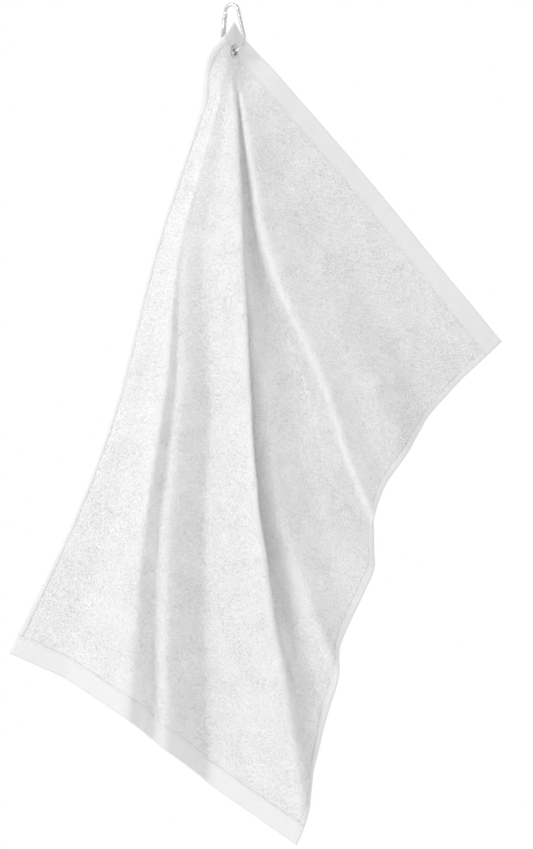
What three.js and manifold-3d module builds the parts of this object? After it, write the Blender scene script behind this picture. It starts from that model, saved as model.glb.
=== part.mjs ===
// Golf towel hung by a corner grommet on a small snap hook.
// Millimetres, +Z up, azimuth 0 looks along +Y. The origin is the inside top of the hook's bow.
import * as THREE from 'three';
import { mergeVertices } from 'three/addons/utils/BufferGeometryUtils.js';
import Module from 'manifold-3d';

const wasm = await Module();
wasm.setup();

// ---- towel, flat ----
const TOWEL_WIDTH = 406;          // the two short ends
const TOWEL_LENGTH = 635;         // the two long sides
const CLOTH_THICK = 3.6;
const HEM_THICK = 2.8;
const SIDE_HEM_THICK = 4.2;
const END_HEM = 20;               // flat band along each short end
const SIDE_HEM = 6;               // rolled hem along each long side
const GROMMET_INSET = 20;         // grommet centre from both edges of its corner
const PRESSED_THICK = 2.4;        // cloth squeezed between the grommet's flanges
const SEAM_BLEND = 2.5;           // a hem takes its own thickness this far from the seam
const PRESS_MARGIN = 1;           // cloth pressed flat beyond the flange
const PRESS_BLEND = 10;           // and back to full thickness over this width
const SEAM_GAP = 0.3;             // left between neighbouring pieces
const THREAD = 0.9;               // stitching cord across

// ---- grommet ----
const HOLE_RADIUS = 3.5;
const BARREL_WALL = 0.45;
const FLANGE_RADIUS = 6.2;
const FLANGE_THICK = 0.5;

// ---- snap hook ----
const WIRE = 3.2;
const TOP_BOW_RADIUS = 6.8;
const BOTTOM_BOW_RADIUS = 11.2;
const BOW_SPACING = 25.8;         // between the two bow centres
const HOOK_TURN_DEG = -25;        // ring plane about the vertical
const HOOK_TILT_DEG = 4;          // ring within its own plane
const GATE_THICK = 4.2;
const GATE_LENGTH = 20.5;
const TONGUE_THICK = 1.4;         // flat tongues inside the gate's two slots
const SLOT_GAP = 0.3;
const PIN_RADIUS = 0.65;
const CATCH_RADIUS = 0.5;
const BORE_RADIUS = 1.25;
const SPRING_WIRE = 0.36;
const SPRING_TURNS = 6;
const SPRING_LENGTH = 6.4;
const NOSE_GAP = 0.9;             // between the gate's top and the wire's nose
const TONGUE_ROOT = 1;            // length of a tongue inside the wire
const NOSE_TONGUE_REACH = 3.2;    // down into the gate
const NOSE_TONGUE_WIDTH = 2.2;
const HINGE_TONGUE_WIDTH = 2.4;
const HINGE_EYE_RADIUS = 1.3;
const GATE_TAIL = 1.9;            // gate below its pivot
const LOW_SLOT_REACH = 2.2;       // slot above the pivot
const HIGH_SLOT_REACH = 3.8;      // slot below the gate's top
const SLOT_OVERRUN = 1;           // cutters run on past the gate's ends
const CATCH_DROP = 1.7;           // catch pin below the gate's top
const PIN_CLEARANCE = 0.2;
const NOTCH_CLEARANCE = 0.35;
const NOTCH_REACH = 4;
const BORE_DEPTH = 9;
const PLUNGER_RISE = 1.9;         // plunger's foot above the pivot
const PLUNGER_LENGTH = 1.8;

// ---- how the towel hangs ----
const HANG_GAP = 0.9;             // wire to the grommet's hole, all round
const HUB_TURN_DEG = 53;          // cloth at the grommet, about the vertical
const HUB_INNER = 9;              // flat patch round the grommet
const HUB_OUTER = 55;             // distance at which the folds have taken over
const HUB_DROP = 12;              // height of the change from the tip to the folds
const HUB_MARGIN = 1.3;           // stays flat this far beyond the grommet's flange
const HUB_BEND = 8;               // width over which the cloth then bends away
const HUB_SPREAD_DEG = 25;        // direction it bends to, about the vertical
const TIP_OVERLAP = 2;            // the change starts this far above the grommet's centre
const DEPTH_TRIM_DEG = 0.31;      // swings the whole fall until it is plumb
const FOLD_SOFT_DEG = 2.4;        // half the width of a soft crease, near the grommet
const FOLD_SOFT_WIDTH = 12;       // the same as a length, farther down
const FOLD_SAMPLES = 4;
const PANEL_OVERRUN = 1.5;        // how far an outer panel runs on past its last fold line
// Fold lines fanning out of the grommet: flat angle from the upper end hem, lean from plumb at
// the top, middle and bottom of the fall, depth angle at the same three (plus is away), and how
// far the weave has stretched along the line.
const FOLD_REACH = [150, 350, 700];
const FOLDS = [
  [-26, 66, 60, 60, 19, 15, 10, 0.99],
  [-12, 52.7, 50, 50, 16.5, 14, 10, 0.99],
  [-3.4, 44.5, 43.8, 43.7, 14.5, 12.8, 9, 0.985],
  [4.5, 36.5, 35.2, 35.4, 12, 10.8, 8, 0.985],
  [12, 28.8, 28.2, 27.2, 9, 7.4, 6, 1.0],
  [20.7, 20.3, 22.8, 24.8, 4.8, 1.2, -1, 1.02],
  [26, 15.5, 18.9, 21, 1.5, -0.7, -2, 1.02],
  [32.5, 9, 15.3, 20.5, -3, -3.6, -4.2, 1.025],
  [39, 6.5, 12.6, 20, 0.8, 1.8, 2.4, 1.03],
  [43.5, 4.5, 9, 14.4, 1.2, 1.2, 1.2, 1.035],
  [46, 3.6, 6.6, 12, 0.5, -0.2, -0.8, 1.035],
  [48.5, 2.5, 4.8, 11.3, -1, -1.5, -2.4, 1.035],
  [51.5, 0.5, 1.6, 8.6, 0, -0.4, -1, 1.035],
  [54.3, 1.4, 2, 6.4, -2, -1.6, -1.2, 1.035],
  [57.2, 3.3, 3.1, 5.2, -6.3, -5.2, -3.4, 1.035],
  [64.9, -8.3, -3.6, -2.1, -3.6, -0.2, 0.8, 1.018],
  [71.2, -13, -8.3, -5.4, -4.8, -3.9, -2.3, 1.02],
  [74, -14.5, -9.6, -6.3, -5, -3.4, -1.7, 1.024],
  [80.5, -16, -11.2, -8.8, -5.4, -5.2, -3.7, 1.024],
  [86.5, -18.4, -14.6, -15, -3.4, -2.4, -0.7, 0.994],
  [91.9, -19.8, -17.7, -21.1, -2.2, -1.7, -1, 0.984],
  [105, -27, -24, -26, 1.5, 2.5, 4, 0.984],
  [120, -42, -34, -34, 4, 5, 6, 0.984],
];

const DEG = Math.PI / 180;
const WIRE_RADIUS = WIRE / 2;
const RING_SIDES = 20;
const RING_STEPS = 28;
const TOP_BOW_STEPS = 14;
const BOTTOM_BOW_STEPS = 18;
const GATE_SIDES = 24;
const BORE_SIDES = 16;
const COIL_STEPS = 14;            // per turn
const CORD_SIDES = 6;
const ACROSS_STEPS = 40;
const DOWN_STEPS = 56;
const STOP_GRADE = 1.35;          // closer stops near the grommet's corner

const STEEL = { color: 0xc9ccd0, roughness: 0.18, metalness: 1.0 };
const NICKEL = { color: 0xc4c6c8, roughness: 0.28, metalness: 1.0 };
const TERRY = { color: 0xf2f2f1, roughness: 0.95, metalness: 0.0 };
const HEM_CLOTH = { color: 0xf7f7f6, roughness: 0.85, metalness: 0.0 };
const COTTON = { color: 0xf4f4f3, roughness: 0.8, metalness: 0.0 };

const part = new THREE.Group();
part.name = 'golf_towel';

/** Adds one named mesh with its own material. */
function addPart(name, geometry, finish) {
  const material = new THREE.MeshStandardMaterial(finish);
  const mesh = new THREE.Mesh(geometry, material);
  mesh.name = name;
  part.add(mesh);
}

// ---- solids ----

/** Welds a geometry by position alone and hands it to the solid kernel. */
function toSolid(geometry) {
  const bare = new THREE.BufferGeometry();
  bare.setAttribute('position', geometry.getAttribute('position').clone());
  bare.setIndex(geometry.index);
  const welded = mergeVertices(bare, 1e-4);
  const mesh = new wasm.Mesh({
    numProp: 3,
    vertProperties: new Float32Array(welded.getAttribute('position').array),
    triVerts: new Uint32Array(welded.index.array),
  });
  return new wasm.Manifold(mesh);
}

/** Turns a solid back into a drawable geometry. */
function toGeometry(solid) {
  const mesh = solid.getMesh();
  const geometry = new THREE.BufferGeometry();
  const positions = new Float32Array(mesh.vertProperties);
  geometry.setAttribute('position', new THREE.BufferAttribute(positions, 3));
  geometry.setIndex(new THREE.BufferAttribute(new Uint32Array(mesh.triVerts), 1));
  const plain = geometry.toNonIndexed();
  plain.computeVertexNormals();
  return plain;
}

/** A round bar from one point to another. */
function bar(from, to, radius, sides = RING_SIDES) {
  const along = new THREE.Vector3().subVectors(to, from);
  const geometry = new THREE.CylinderGeometry(radius, radius, along.length(), sides);
  const up = new THREE.Vector3(0, 1, 0);
  const turn = new THREE.Quaternion().setFromUnitVectors(up, along.clone().normalize());
  geometry.applyQuaternion(turn);
  const middle = from.clone().addScaledVector(along, 0.5);
  geometry.translate(middle.x, middle.y, middle.z);
  return toSolid(geometry);
}

/** A round section swept along a list of points, with flat ends. */
function sweep(points, radius, sides) {
  const positions = [];
  const index = [];
  const last = points.length - 1;
  let side = new THREE.Vector3();
  points.forEach((point, i) => {
    const ahead = points[Math.min(i + 1, last)];
    const behind = points[Math.max(i - 1, 0)];
    const along = new THREE.Vector3().subVectors(ahead, behind).normalize();
    if (i === 0) {
      const helper = Math.abs(along.y) < 0.9 ? new THREE.Vector3(0, 1, 0) : new THREE.Vector3(1, 0, 0);
      side.crossVectors(along, helper);
    }
    side.addScaledVector(along, -side.dot(along)).normalize();
    const other = new THREE.Vector3().crossVectors(along, side);
    for (let k = 0; k < sides; k += 1) {
      const turn = (2 * Math.PI * k) / sides;
      const spot = point.clone();
      spot.addScaledVector(side, radius * Math.cos(turn));
      spot.addScaledVector(other, radius * Math.sin(turn));
      positions.push(spot.x, spot.y, spot.z);
    }
  });
  for (let i = 0; i < last; i += 1) {
    for (let k = 0; k < sides; k += 1) {
      const next = (k + 1) % sides;
      const a = i * sides + k;
      const b = i * sides + next;
      const c = a + sides;
      const d = b + sides;
      index.push(a, b, c, b, d, c);
    }
  }
  for (let k = 1; k < sides - 1; k += 1) {
    index.push(0, k + 1, k);
    const base = last * sides;
    index.push(base, base + k, base + k + 1);
  }
  return meshFrom(positions, index);
}

/** A geometry out of plain position and index lists. */
function meshFrom(positions, index) {
  const geometry = new THREE.BufferGeometry();
  geometry.setAttribute('position', new THREE.Float32BufferAttribute(positions, 3));
  geometry.setIndex(index);
  geometry.computeVertexNormals();
  return geometry;
}

// ---- snap hook, drawn upright in the plane y = 0 and then tilted and turned ----

const TOP_CENTRE = -(TOP_BOW_RADIUS - WIRE_RADIUS);
const BOTTOM_CENTRE = TOP_CENTRE - BOW_SPACING;
const TAPER = Math.asin((BOTTOM_BOW_RADIUS - TOP_BOW_RADIUS) / BOW_SPACING);
const GATE_FOOT = sidePoint(0.1);
const GATE_DIRECTION = sidePoint(1).sub(sidePoint(0)).normalize();
const GATE_TOP = GATE_FOOT.clone().addScaledVector(GATE_DIRECTION, GATE_LENGTH);

/** Point on the left straight side, 0 at the bottom bow and 1 at the top bow. */
function sidePoint(t) {
  const low = new THREE.Vector3(
    -BOTTOM_BOW_RADIUS * Math.cos(TAPER), 0, BOTTOM_CENTRE + BOTTOM_BOW_RADIUS * Math.sin(TAPER));
  const high = new THREE.Vector3(
    -TOP_BOW_RADIUS * Math.cos(TAPER), 0, TOP_CENTRE + TOP_BOW_RADIUS * Math.sin(TAPER));
  return low.lerp(high, t);
}

/** Tilts and turns an upright hook piece into its hanging place. */
function hangHook(geometry) {
  geometry.rotateY(-HOOK_TILT_DEG * DEG);
  geometry.rotateZ(HOOK_TURN_DEG * DEG);
  return geometry;
}

/** Centre line of the bent wire from the nose, over the top, round to the hinge. */
function wirePath() {
  const points = [];
  points.push(GATE_TOP.clone().addScaledVector(GATE_DIRECTION, NOSE_GAP));
  for (let i = 0; i <= TOP_BOW_STEPS; i += 1) {
    const turn = Math.PI - TAPER - ((Math.PI - 2 * TAPER) * i) / TOP_BOW_STEPS;
    const lift = Math.sin(turn);
    points.push(new THREE.Vector3(
      TOP_BOW_RADIUS * Math.cos(turn), 0, TOP_CENTRE + TOP_BOW_RADIUS * lift));
  }
  for (let i = 0; i <= BOTTOM_BOW_STEPS; i += 1) {
    const turn = TAPER - ((Math.PI + 2 * TAPER) * i) / BOTTOM_BOW_STEPS;
    points.push(new THREE.Vector3(
      BOTTOM_BOW_RADIUS * Math.cos(turn), 0, BOTTOM_CENTRE + BOTTOM_BOW_RADIUS * Math.sin(turn)));
  }
  return points;
}

/** Bent wire with a flat tongue at each end for the gate. */
function buildHookFrame() {
  const path = wirePath();
  let solid = toSolid(sweep(path, WIRE_RADIUS, RING_SIDES));
  const nose = path[0];
  const heel = path[path.length - 1];
  const noseTip = GATE_TOP.clone().addScaledVector(GATE_DIRECTION, -NOSE_TONGUE_REACH);
  const noseRoot = nose.clone().addScaledVector(GATE_DIRECTION, TONGUE_ROOT);
  const heelRoot = heel.clone().addScaledVector(GATE_DIRECTION, -TONGUE_ROOT);
  solid = solid.add(tongue(noseRoot, noseTip, NOSE_TONGUE_WIDTH));
  solid = solid.add(tongue(heelRoot, GATE_FOOT, HINGE_TONGUE_WIDTH));
  solid = solid.add(pinBar(GATE_FOOT, HINGE_EYE_RADIUS, TONGUE_THICK));
  solid = solid.subtract(pinBar(GATE_FOOT, PIN_RADIUS + SLOT_GAP, WIRE));
  solid = solid.subtract(pinBar(catchPoint(), CATCH_RADIUS + PIN_CLEARANCE, WIRE));
  addPart('hook_frame', hangHook(toGeometry(solid)), STEEL);
}

/** Flat tongue between two points of the side line. */
function tongue(from, to, width) {
  const along = new THREE.Vector3().subVectors(to, from);
  const geometry = new THREE.BoxGeometry(width, TONGUE_THICK, along.length());
  const up = new THREE.Vector3(0, 0, 1);
  const turn = new THREE.Quaternion().setFromUnitVectors(up, along.clone().normalize());
  geometry.applyQuaternion(turn);
  const middle = from.clone().addScaledVector(along, 0.5);
  geometry.translate(middle.x, middle.y, middle.z);
  return toSolid(geometry);
}

/** Where the catch pin crosses the nose tongue. */
function catchPoint() {
  return GATE_TOP.clone().addScaledVector(GATE_DIRECTION, -CATCH_DROP);
}

/** A pin along the ring plane's normal. */
function pinBar(at, radius, length) {
  const half = length / 2;
  return bar(at.clone().setY(at.y - half), at.clone().setY(at.y + half), radius);
}

/** Round lever with a slot at each end and a bore for its spring. */
function buildGateLever() {
  const radius = GATE_THICK / 2;
  const foot = GATE_FOOT.clone().addScaledVector(GATE_DIRECTION, -GATE_TAIL);
  const slot = TONGUE_THICK + 2 * SLOT_GAP;
  let solid = bar(foot, GATE_TOP, radius, GATE_SIDES);
  const low = GATE_FOOT.clone().addScaledVector(GATE_DIRECTION, LOW_SLOT_REACH);
  const below = foot.clone().addScaledVector(GATE_DIRECTION, -SLOT_OVERRUN);
  solid = solid.subtract(slotCut(below, low, slot));
  const high = GATE_TOP.clone().addScaledVector(GATE_DIRECTION, -HIGH_SLOT_REACH);
  const above = GATE_TOP.clone().addScaledVector(GATE_DIRECTION, SLOT_OVERRUN);
  solid = solid.subtract(slotCut(high, above, slot));
  solid = solid.subtract(notchCut());
  solid = solid.subtract(pinBar(GATE_FOOT, PIN_RADIUS + PIN_CLEARANCE, GATE_THICK + SLOT_OVERRUN));
  const bore = low.clone().addScaledVector(GATE_DIRECTION, BORE_DEPTH);
  solid = solid.subtract(bar(below, bore, BORE_RADIUS, BORE_SIDES));
  addPart('gate_lever', hangHook(toGeometry(solid)), STEEL);
}

/** Cutter for one of the lever's slots. */
function slotCut(from, to, width) {
  const along = new THREE.Vector3().subVectors(to, from);
  const geometry = new THREE.BoxGeometry(GATE_THICK + 2 * SLOT_OVERRUN, width, along.length());
  const up = new THREE.Vector3(0, 0, 1);
  const turn = new THREE.Quaternion().setFromUnitVectors(up, along.clone().normalize());
  geometry.applyQuaternion(turn);
  const middle = from.clone().addScaledVector(along, 0.5);
  geometry.translate(middle.x, middle.y, middle.z);
  return toSolid(geometry);
}

/** Notch in the lever's cheeks that lets the catch pin out on the outer side. */
function notchCut() {
  const clear = CATCH_RADIUS + NOTCH_CLEARANCE;
  const geometry = new THREE.BoxGeometry(NOTCH_REACH, GATE_THICK + SLOT_OVERRUN, 2 * clear);
  geometry.translate(-NOTCH_REACH / 2 + clear, 0, 0);
  geometry.rotateY(Math.atan2(GATE_DIRECTION.x, GATE_DIRECTION.z));
  const at = catchPoint();
  geometry.translate(at.x, at.y, at.z);
  return toSolid(geometry);
}

/** The two cross pins. */
function buildPins() {
  const pivot = pinBar(GATE_FOOT, PIN_RADIUS, GATE_THICK - PIN_CLEARANCE);
  addPart('gate_pivot_pin', hangHook(toGeometry(pivot)), STEEL);
  const catchPin = pinBar(catchPoint(), CATCH_RADIUS, GATE_THICK - 4 * PIN_CLEARANCE);
  addPart('catch_pin', hangHook(toGeometry(catchPin)), STEEL);
}

/** Plunger that presses on the hinge tongue, and the coil behind it. */
function buildPlungerAndSpring() {
  const headFrom = GATE_FOOT.clone().addScaledVector(GATE_DIRECTION, PLUNGER_RISE);
  const headTo = headFrom.clone().addScaledVector(GATE_DIRECTION, PLUNGER_LENGTH);
  const plunger = bar(headFrom, headTo, BORE_RADIUS - SEAM_GAP, BORE_SIDES);
  addPart('gate_plunger', hangHook(toGeometry(plunger)), STEEL);
  const from = headTo.clone().addScaledVector(GATE_DIRECTION, PIN_CLEARANCE + SPRING_WIRE / 2);
  const coilRadius = BORE_RADIUS - SEAM_GAP - SPRING_WIRE / 2;
  const across = new THREE.Vector3(0, 1, 0);
  const other = new THREE.Vector3().crossVectors(GATE_DIRECTION, across);
  const points = [];
  const steps = SPRING_TURNS * COIL_STEPS;
  for (let i = 0; i <= steps; i += 1) {
    const turn = (2 * Math.PI * SPRING_TURNS * i) / steps;
    const spot = from.clone().addScaledVector(GATE_DIRECTION, (SPRING_LENGTH * i) / steps);
    spot.addScaledVector(across, coilRadius * Math.cos(turn));
    spot.addScaledVector(other, coilRadius * Math.sin(turn));
    points.push(spot);
  }
  addPart('gate_spring', hangHook(sweep(points, SPRING_WIRE / 2, CORD_SIDES)), NICKEL);
}

// ---- where the grommet hangs ----

const TILT = HOOK_TILT_DEG * DEG;
const TURN = HOOK_TURN_DEG * DEG;
const CONTACT_ACROSS = -BOTTOM_CENTRE * Math.sin(TILT);
const CONTACT_HEIGHT = BOTTOM_CENTRE * Math.cos(TILT) - BOTTOM_BOW_RADIUS;
const HANG_DROP = HOLE_RADIUS - WIRE_RADIUS - HANG_GAP;   // hole centre below the wire's centre line
const GROMMET = new THREE.Vector3(
  CONTACT_ACROSS * Math.cos(TURN), CONTACT_ACROSS * Math.sin(TURN), CONTACT_HEIGHT - HANG_DROP);
const HUB_RIGHT = new THREE.Vector3(Math.cos(HUB_TURN_DEG * DEG), Math.sin(HUB_TURN_DEG * DEG), 0);
const HUB_SPREAD = new THREE.Vector3(
  Math.cos(HUB_SPREAD_DEG * DEG), Math.sin(HUB_SPREAD_DEG * DEG), 0);
const HUB_DOWN = new THREE.Vector3(0, 0, -1);
const HUB_NORMAL = new THREE.Vector3().crossVectors(HUB_RIGHT, HUB_DOWN).normalize();

// ---- the fall of the cloth ----

/** Smooth 0 to 1 ramp. */
function ramp(x) {
  const t = Math.min(Math.max(x, 0), 1);
  return t * t * (3 - 2 * t);
}

/** Lean, depth angle and stretch of one fold line at a distance from the grommet. */
function foldAt(fold, reach) {
  const [top, middle, bottom] = FOLD_REACH;
  const upper = ramp((reach - top) / (middle - top));
  const lower = ramp((reach - middle) / (bottom - middle));
  const whole = ramp((reach - top) / (bottom - top));
  const between = (a, b, c) => a + (b - a) * upper + (c - b) * lower;
  return [
    between(fold[1], fold[2], fold[3]),
    between(fold[4], fold[5], fold[6]),
    1 + (fold[7] - 1) * whole,
  ];
}

/** Straight panels between the fold lines, before they are softened. */
function panelAt(flat, lines) {
  let i = 0;
  while (i < FOLDS.length - 2 && flat > FOLDS[i + 1][0]) {
    i += 1;
  }
  const span = FOLDS[i + 1][0] - FOLDS[i][0];
  const t = Math.min(Math.max((flat - FOLDS[i][0]) / span, -PANEL_OVERRUN), 1 + PANEL_OVERRUN);
  return lines[i].map((low, k) => low + (lines[i + 1][k] - low) * t);
}

/** Point of the hanging cloth's middle surface for a flat place on the towel. */
function drape(u, v) {
  const du = u - GROMMET_INSET;
  const dv = v - GROMMET_INSET;
  const reach = Math.hypot(du, dv);
  const flat = Math.atan2(dv, du) / DEG;
  const rightward = (du - dv) / Math.SQRT2;
  const downward = (du + dv) / Math.SQRT2;
  const hub = GROMMET.clone();
  hub.addScaledVector(HUB_RIGHT, rightward);
  hub.addScaledVector(HUB_DOWN, downward);
  const past = Math.max(Math.abs(rightward) - FLANGE_RADIUS - HUB_MARGIN, 0);
  const turning = Math.min(past, HUB_BEND);
  const bent = Math.sign(rightward) * (turning ** 2 / (2 * HUB_BEND) + past - turning);
  hub.addScaledVector(HUB_SPREAD, bent).addScaledVector(HUB_RIGHT, -bent);
  const below = ramp((downward + TIP_OVERLAP) / HUB_DROP);
  const share = below * ramp((reach - HUB_INNER) / (HUB_OUTER - HUB_INNER));
  if (share === 0) {
    return hub;
  }
  const lines = FOLDS.map((fold) => foldAt(fold, reach));
  const soft = Math.min(FOLD_SOFT_DEG, FOLD_SOFT_WIDTH / reach / DEG);
  const sum = [0, 0, 0];
  let total = 0;
  for (let k = -FOLD_SAMPLES; k <= FOLD_SAMPLES; k += 1) {
    const weight = 1 + Math.cos((Math.PI * k) / (FOLD_SAMPLES + 1));
    const panel = panelAt(flat + (soft * k) / FOLD_SAMPLES, lines);
    panel.forEach((value, n) => {
      sum[n] += weight * value;
    });
    total += weight;
  }
  const lean = (sum[0] / total) * DEG;
  const depth = (sum[1] / total + DEPTH_TRIM_DEG) * DEG;
  const fall = new THREE.Vector3(
    Math.sin(lean) * Math.cos(depth), Math.sin(depth), -Math.cos(lean) * Math.cos(depth));
  fall.multiplyScalar((reach * sum[2]) / total).add(GROMMET);
  return hub.lerp(fall, share);
}

/** Facing direction of the cloth at a flat place. */
function facing(u, v) {
  const step = 1.5;
  const along = drape(u + step, v).sub(drape(u - step, v));
  const down = drape(u, v + step).sub(drape(u, v - step));
  return along.cross(down).normalize();
}

/** Thickness of the cloth, squeezed round the grommet. */
function clothThickness(u, v, full) {
  const reach = Math.hypot(u - GROMMET_INSET, v - GROMMET_INSET);
  const share = ramp((reach - FLANGE_RADIUS - PRESS_MARGIN) / PRESS_BLEND);
  return PRESSED_THICK + (full - PRESSED_THICK) * share;
}

/** Thickness of a hem: its own, but the field's where it meets the field. */
function hemThickness(own) {
  return (u, v) => {
    const across = Math.min(u - SIDE_HEM, TOWEL_WIDTH - SIDE_HEM - u);
    const down = Math.min(v - END_HEM, TOWEL_LENGTH - END_HEM - v);
    const away = Math.max(-across, -down);
    return own + (CLOTH_THICK - own) * ramp(1 - (away - SEAM_GAP / 2) / SEAM_BLEND);
  };
}

/** A closed sheet over a grid of flat places. */
function sheet(us, vs, full) {
  const positions = [];
  const index = [];
  const nu = us.length;
  const nv = vs.length;
  for (const face of [0.5, -0.5]) {
    for (const v of vs) {
      for (const u of us) {
        const spot = drape(u, v);
        spot.addScaledVector(facing(u, v), face * clothThickness(u, v, full(u, v)));
        positions.push(spot.x, spot.y, spot.z);
      }
    }
  }
  const count = nu * nv;
  for (let j = 0; j < nv - 1; j += 1) {
    for (let i = 0; i < nu - 1; i += 1) {
      const a = j * nu + i;
      const b = a + 1;
      const c = a + nu;
      const d = c + 1;
      index.push(a, b, d, a, d, c);
      index.push(a + count, d + count, b + count, a + count, c + count, d + count);
    }
  }
  // Both rims of a seam are split along the same diagonal, so neighbours never cross.
  const wall = (a, b, forward) => {
    if (forward) {
      index.push(a, a + count, b, b, a + count, b + count);
    } else {
      index.push(a, a + count, b + count, a, b + count, b);
    }
  };
  for (let i = 0; i < nu - 1; i += 1) {
    const low = (nv - 1) * nu + i;
    wall(i, i + 1, true);
    wall(low + 1, low, false);
  }
  for (let j = 0; j < nv - 1; j += 1) {
    const start = j * nu;
    wall(start + nu - 1, start + 2 * nu - 1, true);
    wall(start + nu, start, false);
  }
  return meshFrom(positions, index);
}

/** Evenly graded stops, closer together near the grommet's corner. */
function stops(from, to, count, grade) {
  const list = [];
  for (let i = 0; i <= count; i += 1) {
    list.push(from + (to - from) * (i / count) ** grade);
  }
  return list;
}

/** Cutter for the grommet's barrel through the cloth. */
function barrelCut() {
  const radius = HOLE_RADIUS + BARREL_WALL + SEAM_GAP;
  const from = GROMMET.clone().addScaledVector(HUB_NORMAL, -FLANGE_RADIUS);
  const to = GROMMET.clone().addScaledVector(HUB_NORMAL, FLANGE_RADIUS);
  return bar(from, to, radius, RING_STEPS);
}

/** Grid stops of the terry field, inside its four seams. */
function clothStops() {
  const half = SEAM_GAP / 2;
  const across = stops(SIDE_HEM + half, TOWEL_WIDTH - SIDE_HEM - half, ACROSS_STEPS, STOP_GRADE);
  const down = stops(END_HEM + half, TOWEL_LENGTH - END_HEM - half, DOWN_STEPS, STOP_GRADE);
  return { across, down };
}

/** Terry field and its four hems. */
function buildCloth() {
  const { across, down } = clothStops();
  const half = SEAM_GAP / 2;
  const flat = hemThickness(HEM_THICK);
  const rolled = hemThickness(SIDE_HEM_THICK);
  const cut = barrelCut();
  const field = sheet(across, down, () => CLOTH_THICK);
  addPart('towel_cloth', toGeometry(toSolid(field).subtract(cut)), TERRY);
  const leftStops = [0, SIDE_HEM / 2, SIDE_HEM - half];
  const rightStops = leftStops.map((u) => TOWEL_WIDTH - u).reverse();
  const whole = [...leftStops, ...across, ...rightStops];
  const upperStops = [0, END_HEM / 2, END_HEM - SEAM_BLEND, END_HEM - half];
  const upper = sheet(whole, upperStops, flat);
  addPart('end_hem_upper', toGeometry(toSolid(upper).subtract(cut)), HEM_CLOTH);
  const lowerStops = upperStops.map((v) => TOWEL_LENGTH - v).reverse();
  addPart('end_hem_lower', sheet(whole, lowerStops, flat), HEM_CLOTH);
  addPart('side_hem_left', sheet(leftStops, down, rolled), HEM_CLOTH);
  addPart('side_hem_right', sheet(rightStops, down, rolled), HEM_CLOTH);
}

// ---- grommet ----

/** A ring of the given section about the hub's axis; the section lists radius and height. */
function hubRing(section) {
  const profile = section.map(([radius, height]) => new THREE.Vector2(radius, height));
  profile.push(profile[0].clone());
  const geometry = new THREE.LatheGeometry(profile, RING_STEPS);
  const up = new THREE.Vector3(0, 1, 0);
  geometry.applyQuaternion(new THREE.Quaternion().setFromUnitVectors(up, HUB_NORMAL));
  geometry.translate(GROMMET.x, GROMMET.y, GROMMET.z);
  return toSolid(geometry);
}

/** Eyelet through the cloth, rolled over the washer at the back. */
function buildGrommet() {
  const face = PRESSED_THICK / 2 + SEAM_GAP;
  const outer = HOLE_RADIUS + BARREL_WALL;
  const edge = FLANGE_THICK * 0.4;
  const lip = face + FLANGE_THICK + SEAM_GAP;
  const roll = outer + FLANGE_THICK * 1.4;
  const eyelet = hubRing([
    [HOLE_RADIUS, -face],
    [HOLE_RADIUS + edge, -face - FLANGE_THICK],
    [FLANGE_RADIUS - edge, -face - FLANGE_THICK],
    [FLANGE_RADIUS, -face - FLANGE_THICK + edge],
    [FLANGE_RADIUS, -face],
    [outer, -face],
    [outer, lip],
    [roll, lip],
    [roll - edge, lip + FLANGE_THICK * 0.7],
    [HOLE_RADIUS + edge, lip + FLANGE_THICK * 0.7],
    [HOLE_RADIUS, lip],
  ]);
  addPart('grommet_eyelet', toGeometry(eyelet), NICKEL);
  const washer = hubRing([
    [outer + SEAM_GAP, face],
    [FLANGE_RADIUS, face],
    [FLANGE_RADIUS, face + FLANGE_THICK - edge],
    [FLANGE_RADIUS - edge, face + FLANGE_THICK],
    [outer + SEAM_GAP, face + FLANGE_THICK],
  ]);
  addPart('grommet_washer', toGeometry(washer), NICKEL);
}

// ---- stitching ----

/** A cord lying on the front of the cloth along a list of flat places. */
function threadAlong(places, thick) {
  const points = places.map(([u, v]) => {
    const lift = thick(u, v) / 2 + SEAM_GAP + THREAD / 2;
    return drape(u, v).addScaledVector(facing(u, v), -lift);
  });
  return sweep(points, THREAD / 2, CORD_SIDES);
}

/** One row of stitching along each hem. */
function buildStitching() {
  const stopsOfCloth = clothStops();
  const across = stopsOfCloth.across.slice(1, -1);
  const down = stopsOfCloth.down.slice(1, -1);
  const flat = hemThickness(HEM_THICK);
  const rolled = hemThickness(SIDE_HEM_THICK);
  const row = END_HEM - SEAM_BLEND;
  const column = SIDE_HEM / 2;
  const clearOfGrommet = across.filter((u) => u > GROMMET_INSET + FLANGE_RADIUS + THREAD);
  const below = down.filter((v) => v > GROMMET_INSET + THREAD);
  const rows = {
    stitch_upper: [clearOfGrommet.map((u) => [u, row]), flat],
    stitch_lower: [across.map((u) => [u, TOWEL_LENGTH - row]), flat],
    stitch_left: [below.map((v) => [column, v]), rolled],
    stitch_right: [down.map((v) => [TOWEL_WIDTH - column, v]), rolled],
  };
  for (const [name, [places, thick]] of Object.entries(rows)) {
    addPart(name, threadAlong(places, thick), COTTON);
  }
}

buildHookFrame();
buildGateLever();
buildPins();
buildPlungerAndSpring();
buildCloth();
buildGrommet();
buildStitching();

export default part;
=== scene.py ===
"""Golf towel hung by its corner grommet on a small snap hook.

Lengths inside the classes are millimetres; a mesh is made in metres as it leaves them.
"""

import logging
import math
from collections.abc import Callable, Sequence
from dataclasses import dataclass, field
from enum import Enum

import bmesh
import bpy
import numpy as np
from mathutils import Matrix, Vector

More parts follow.
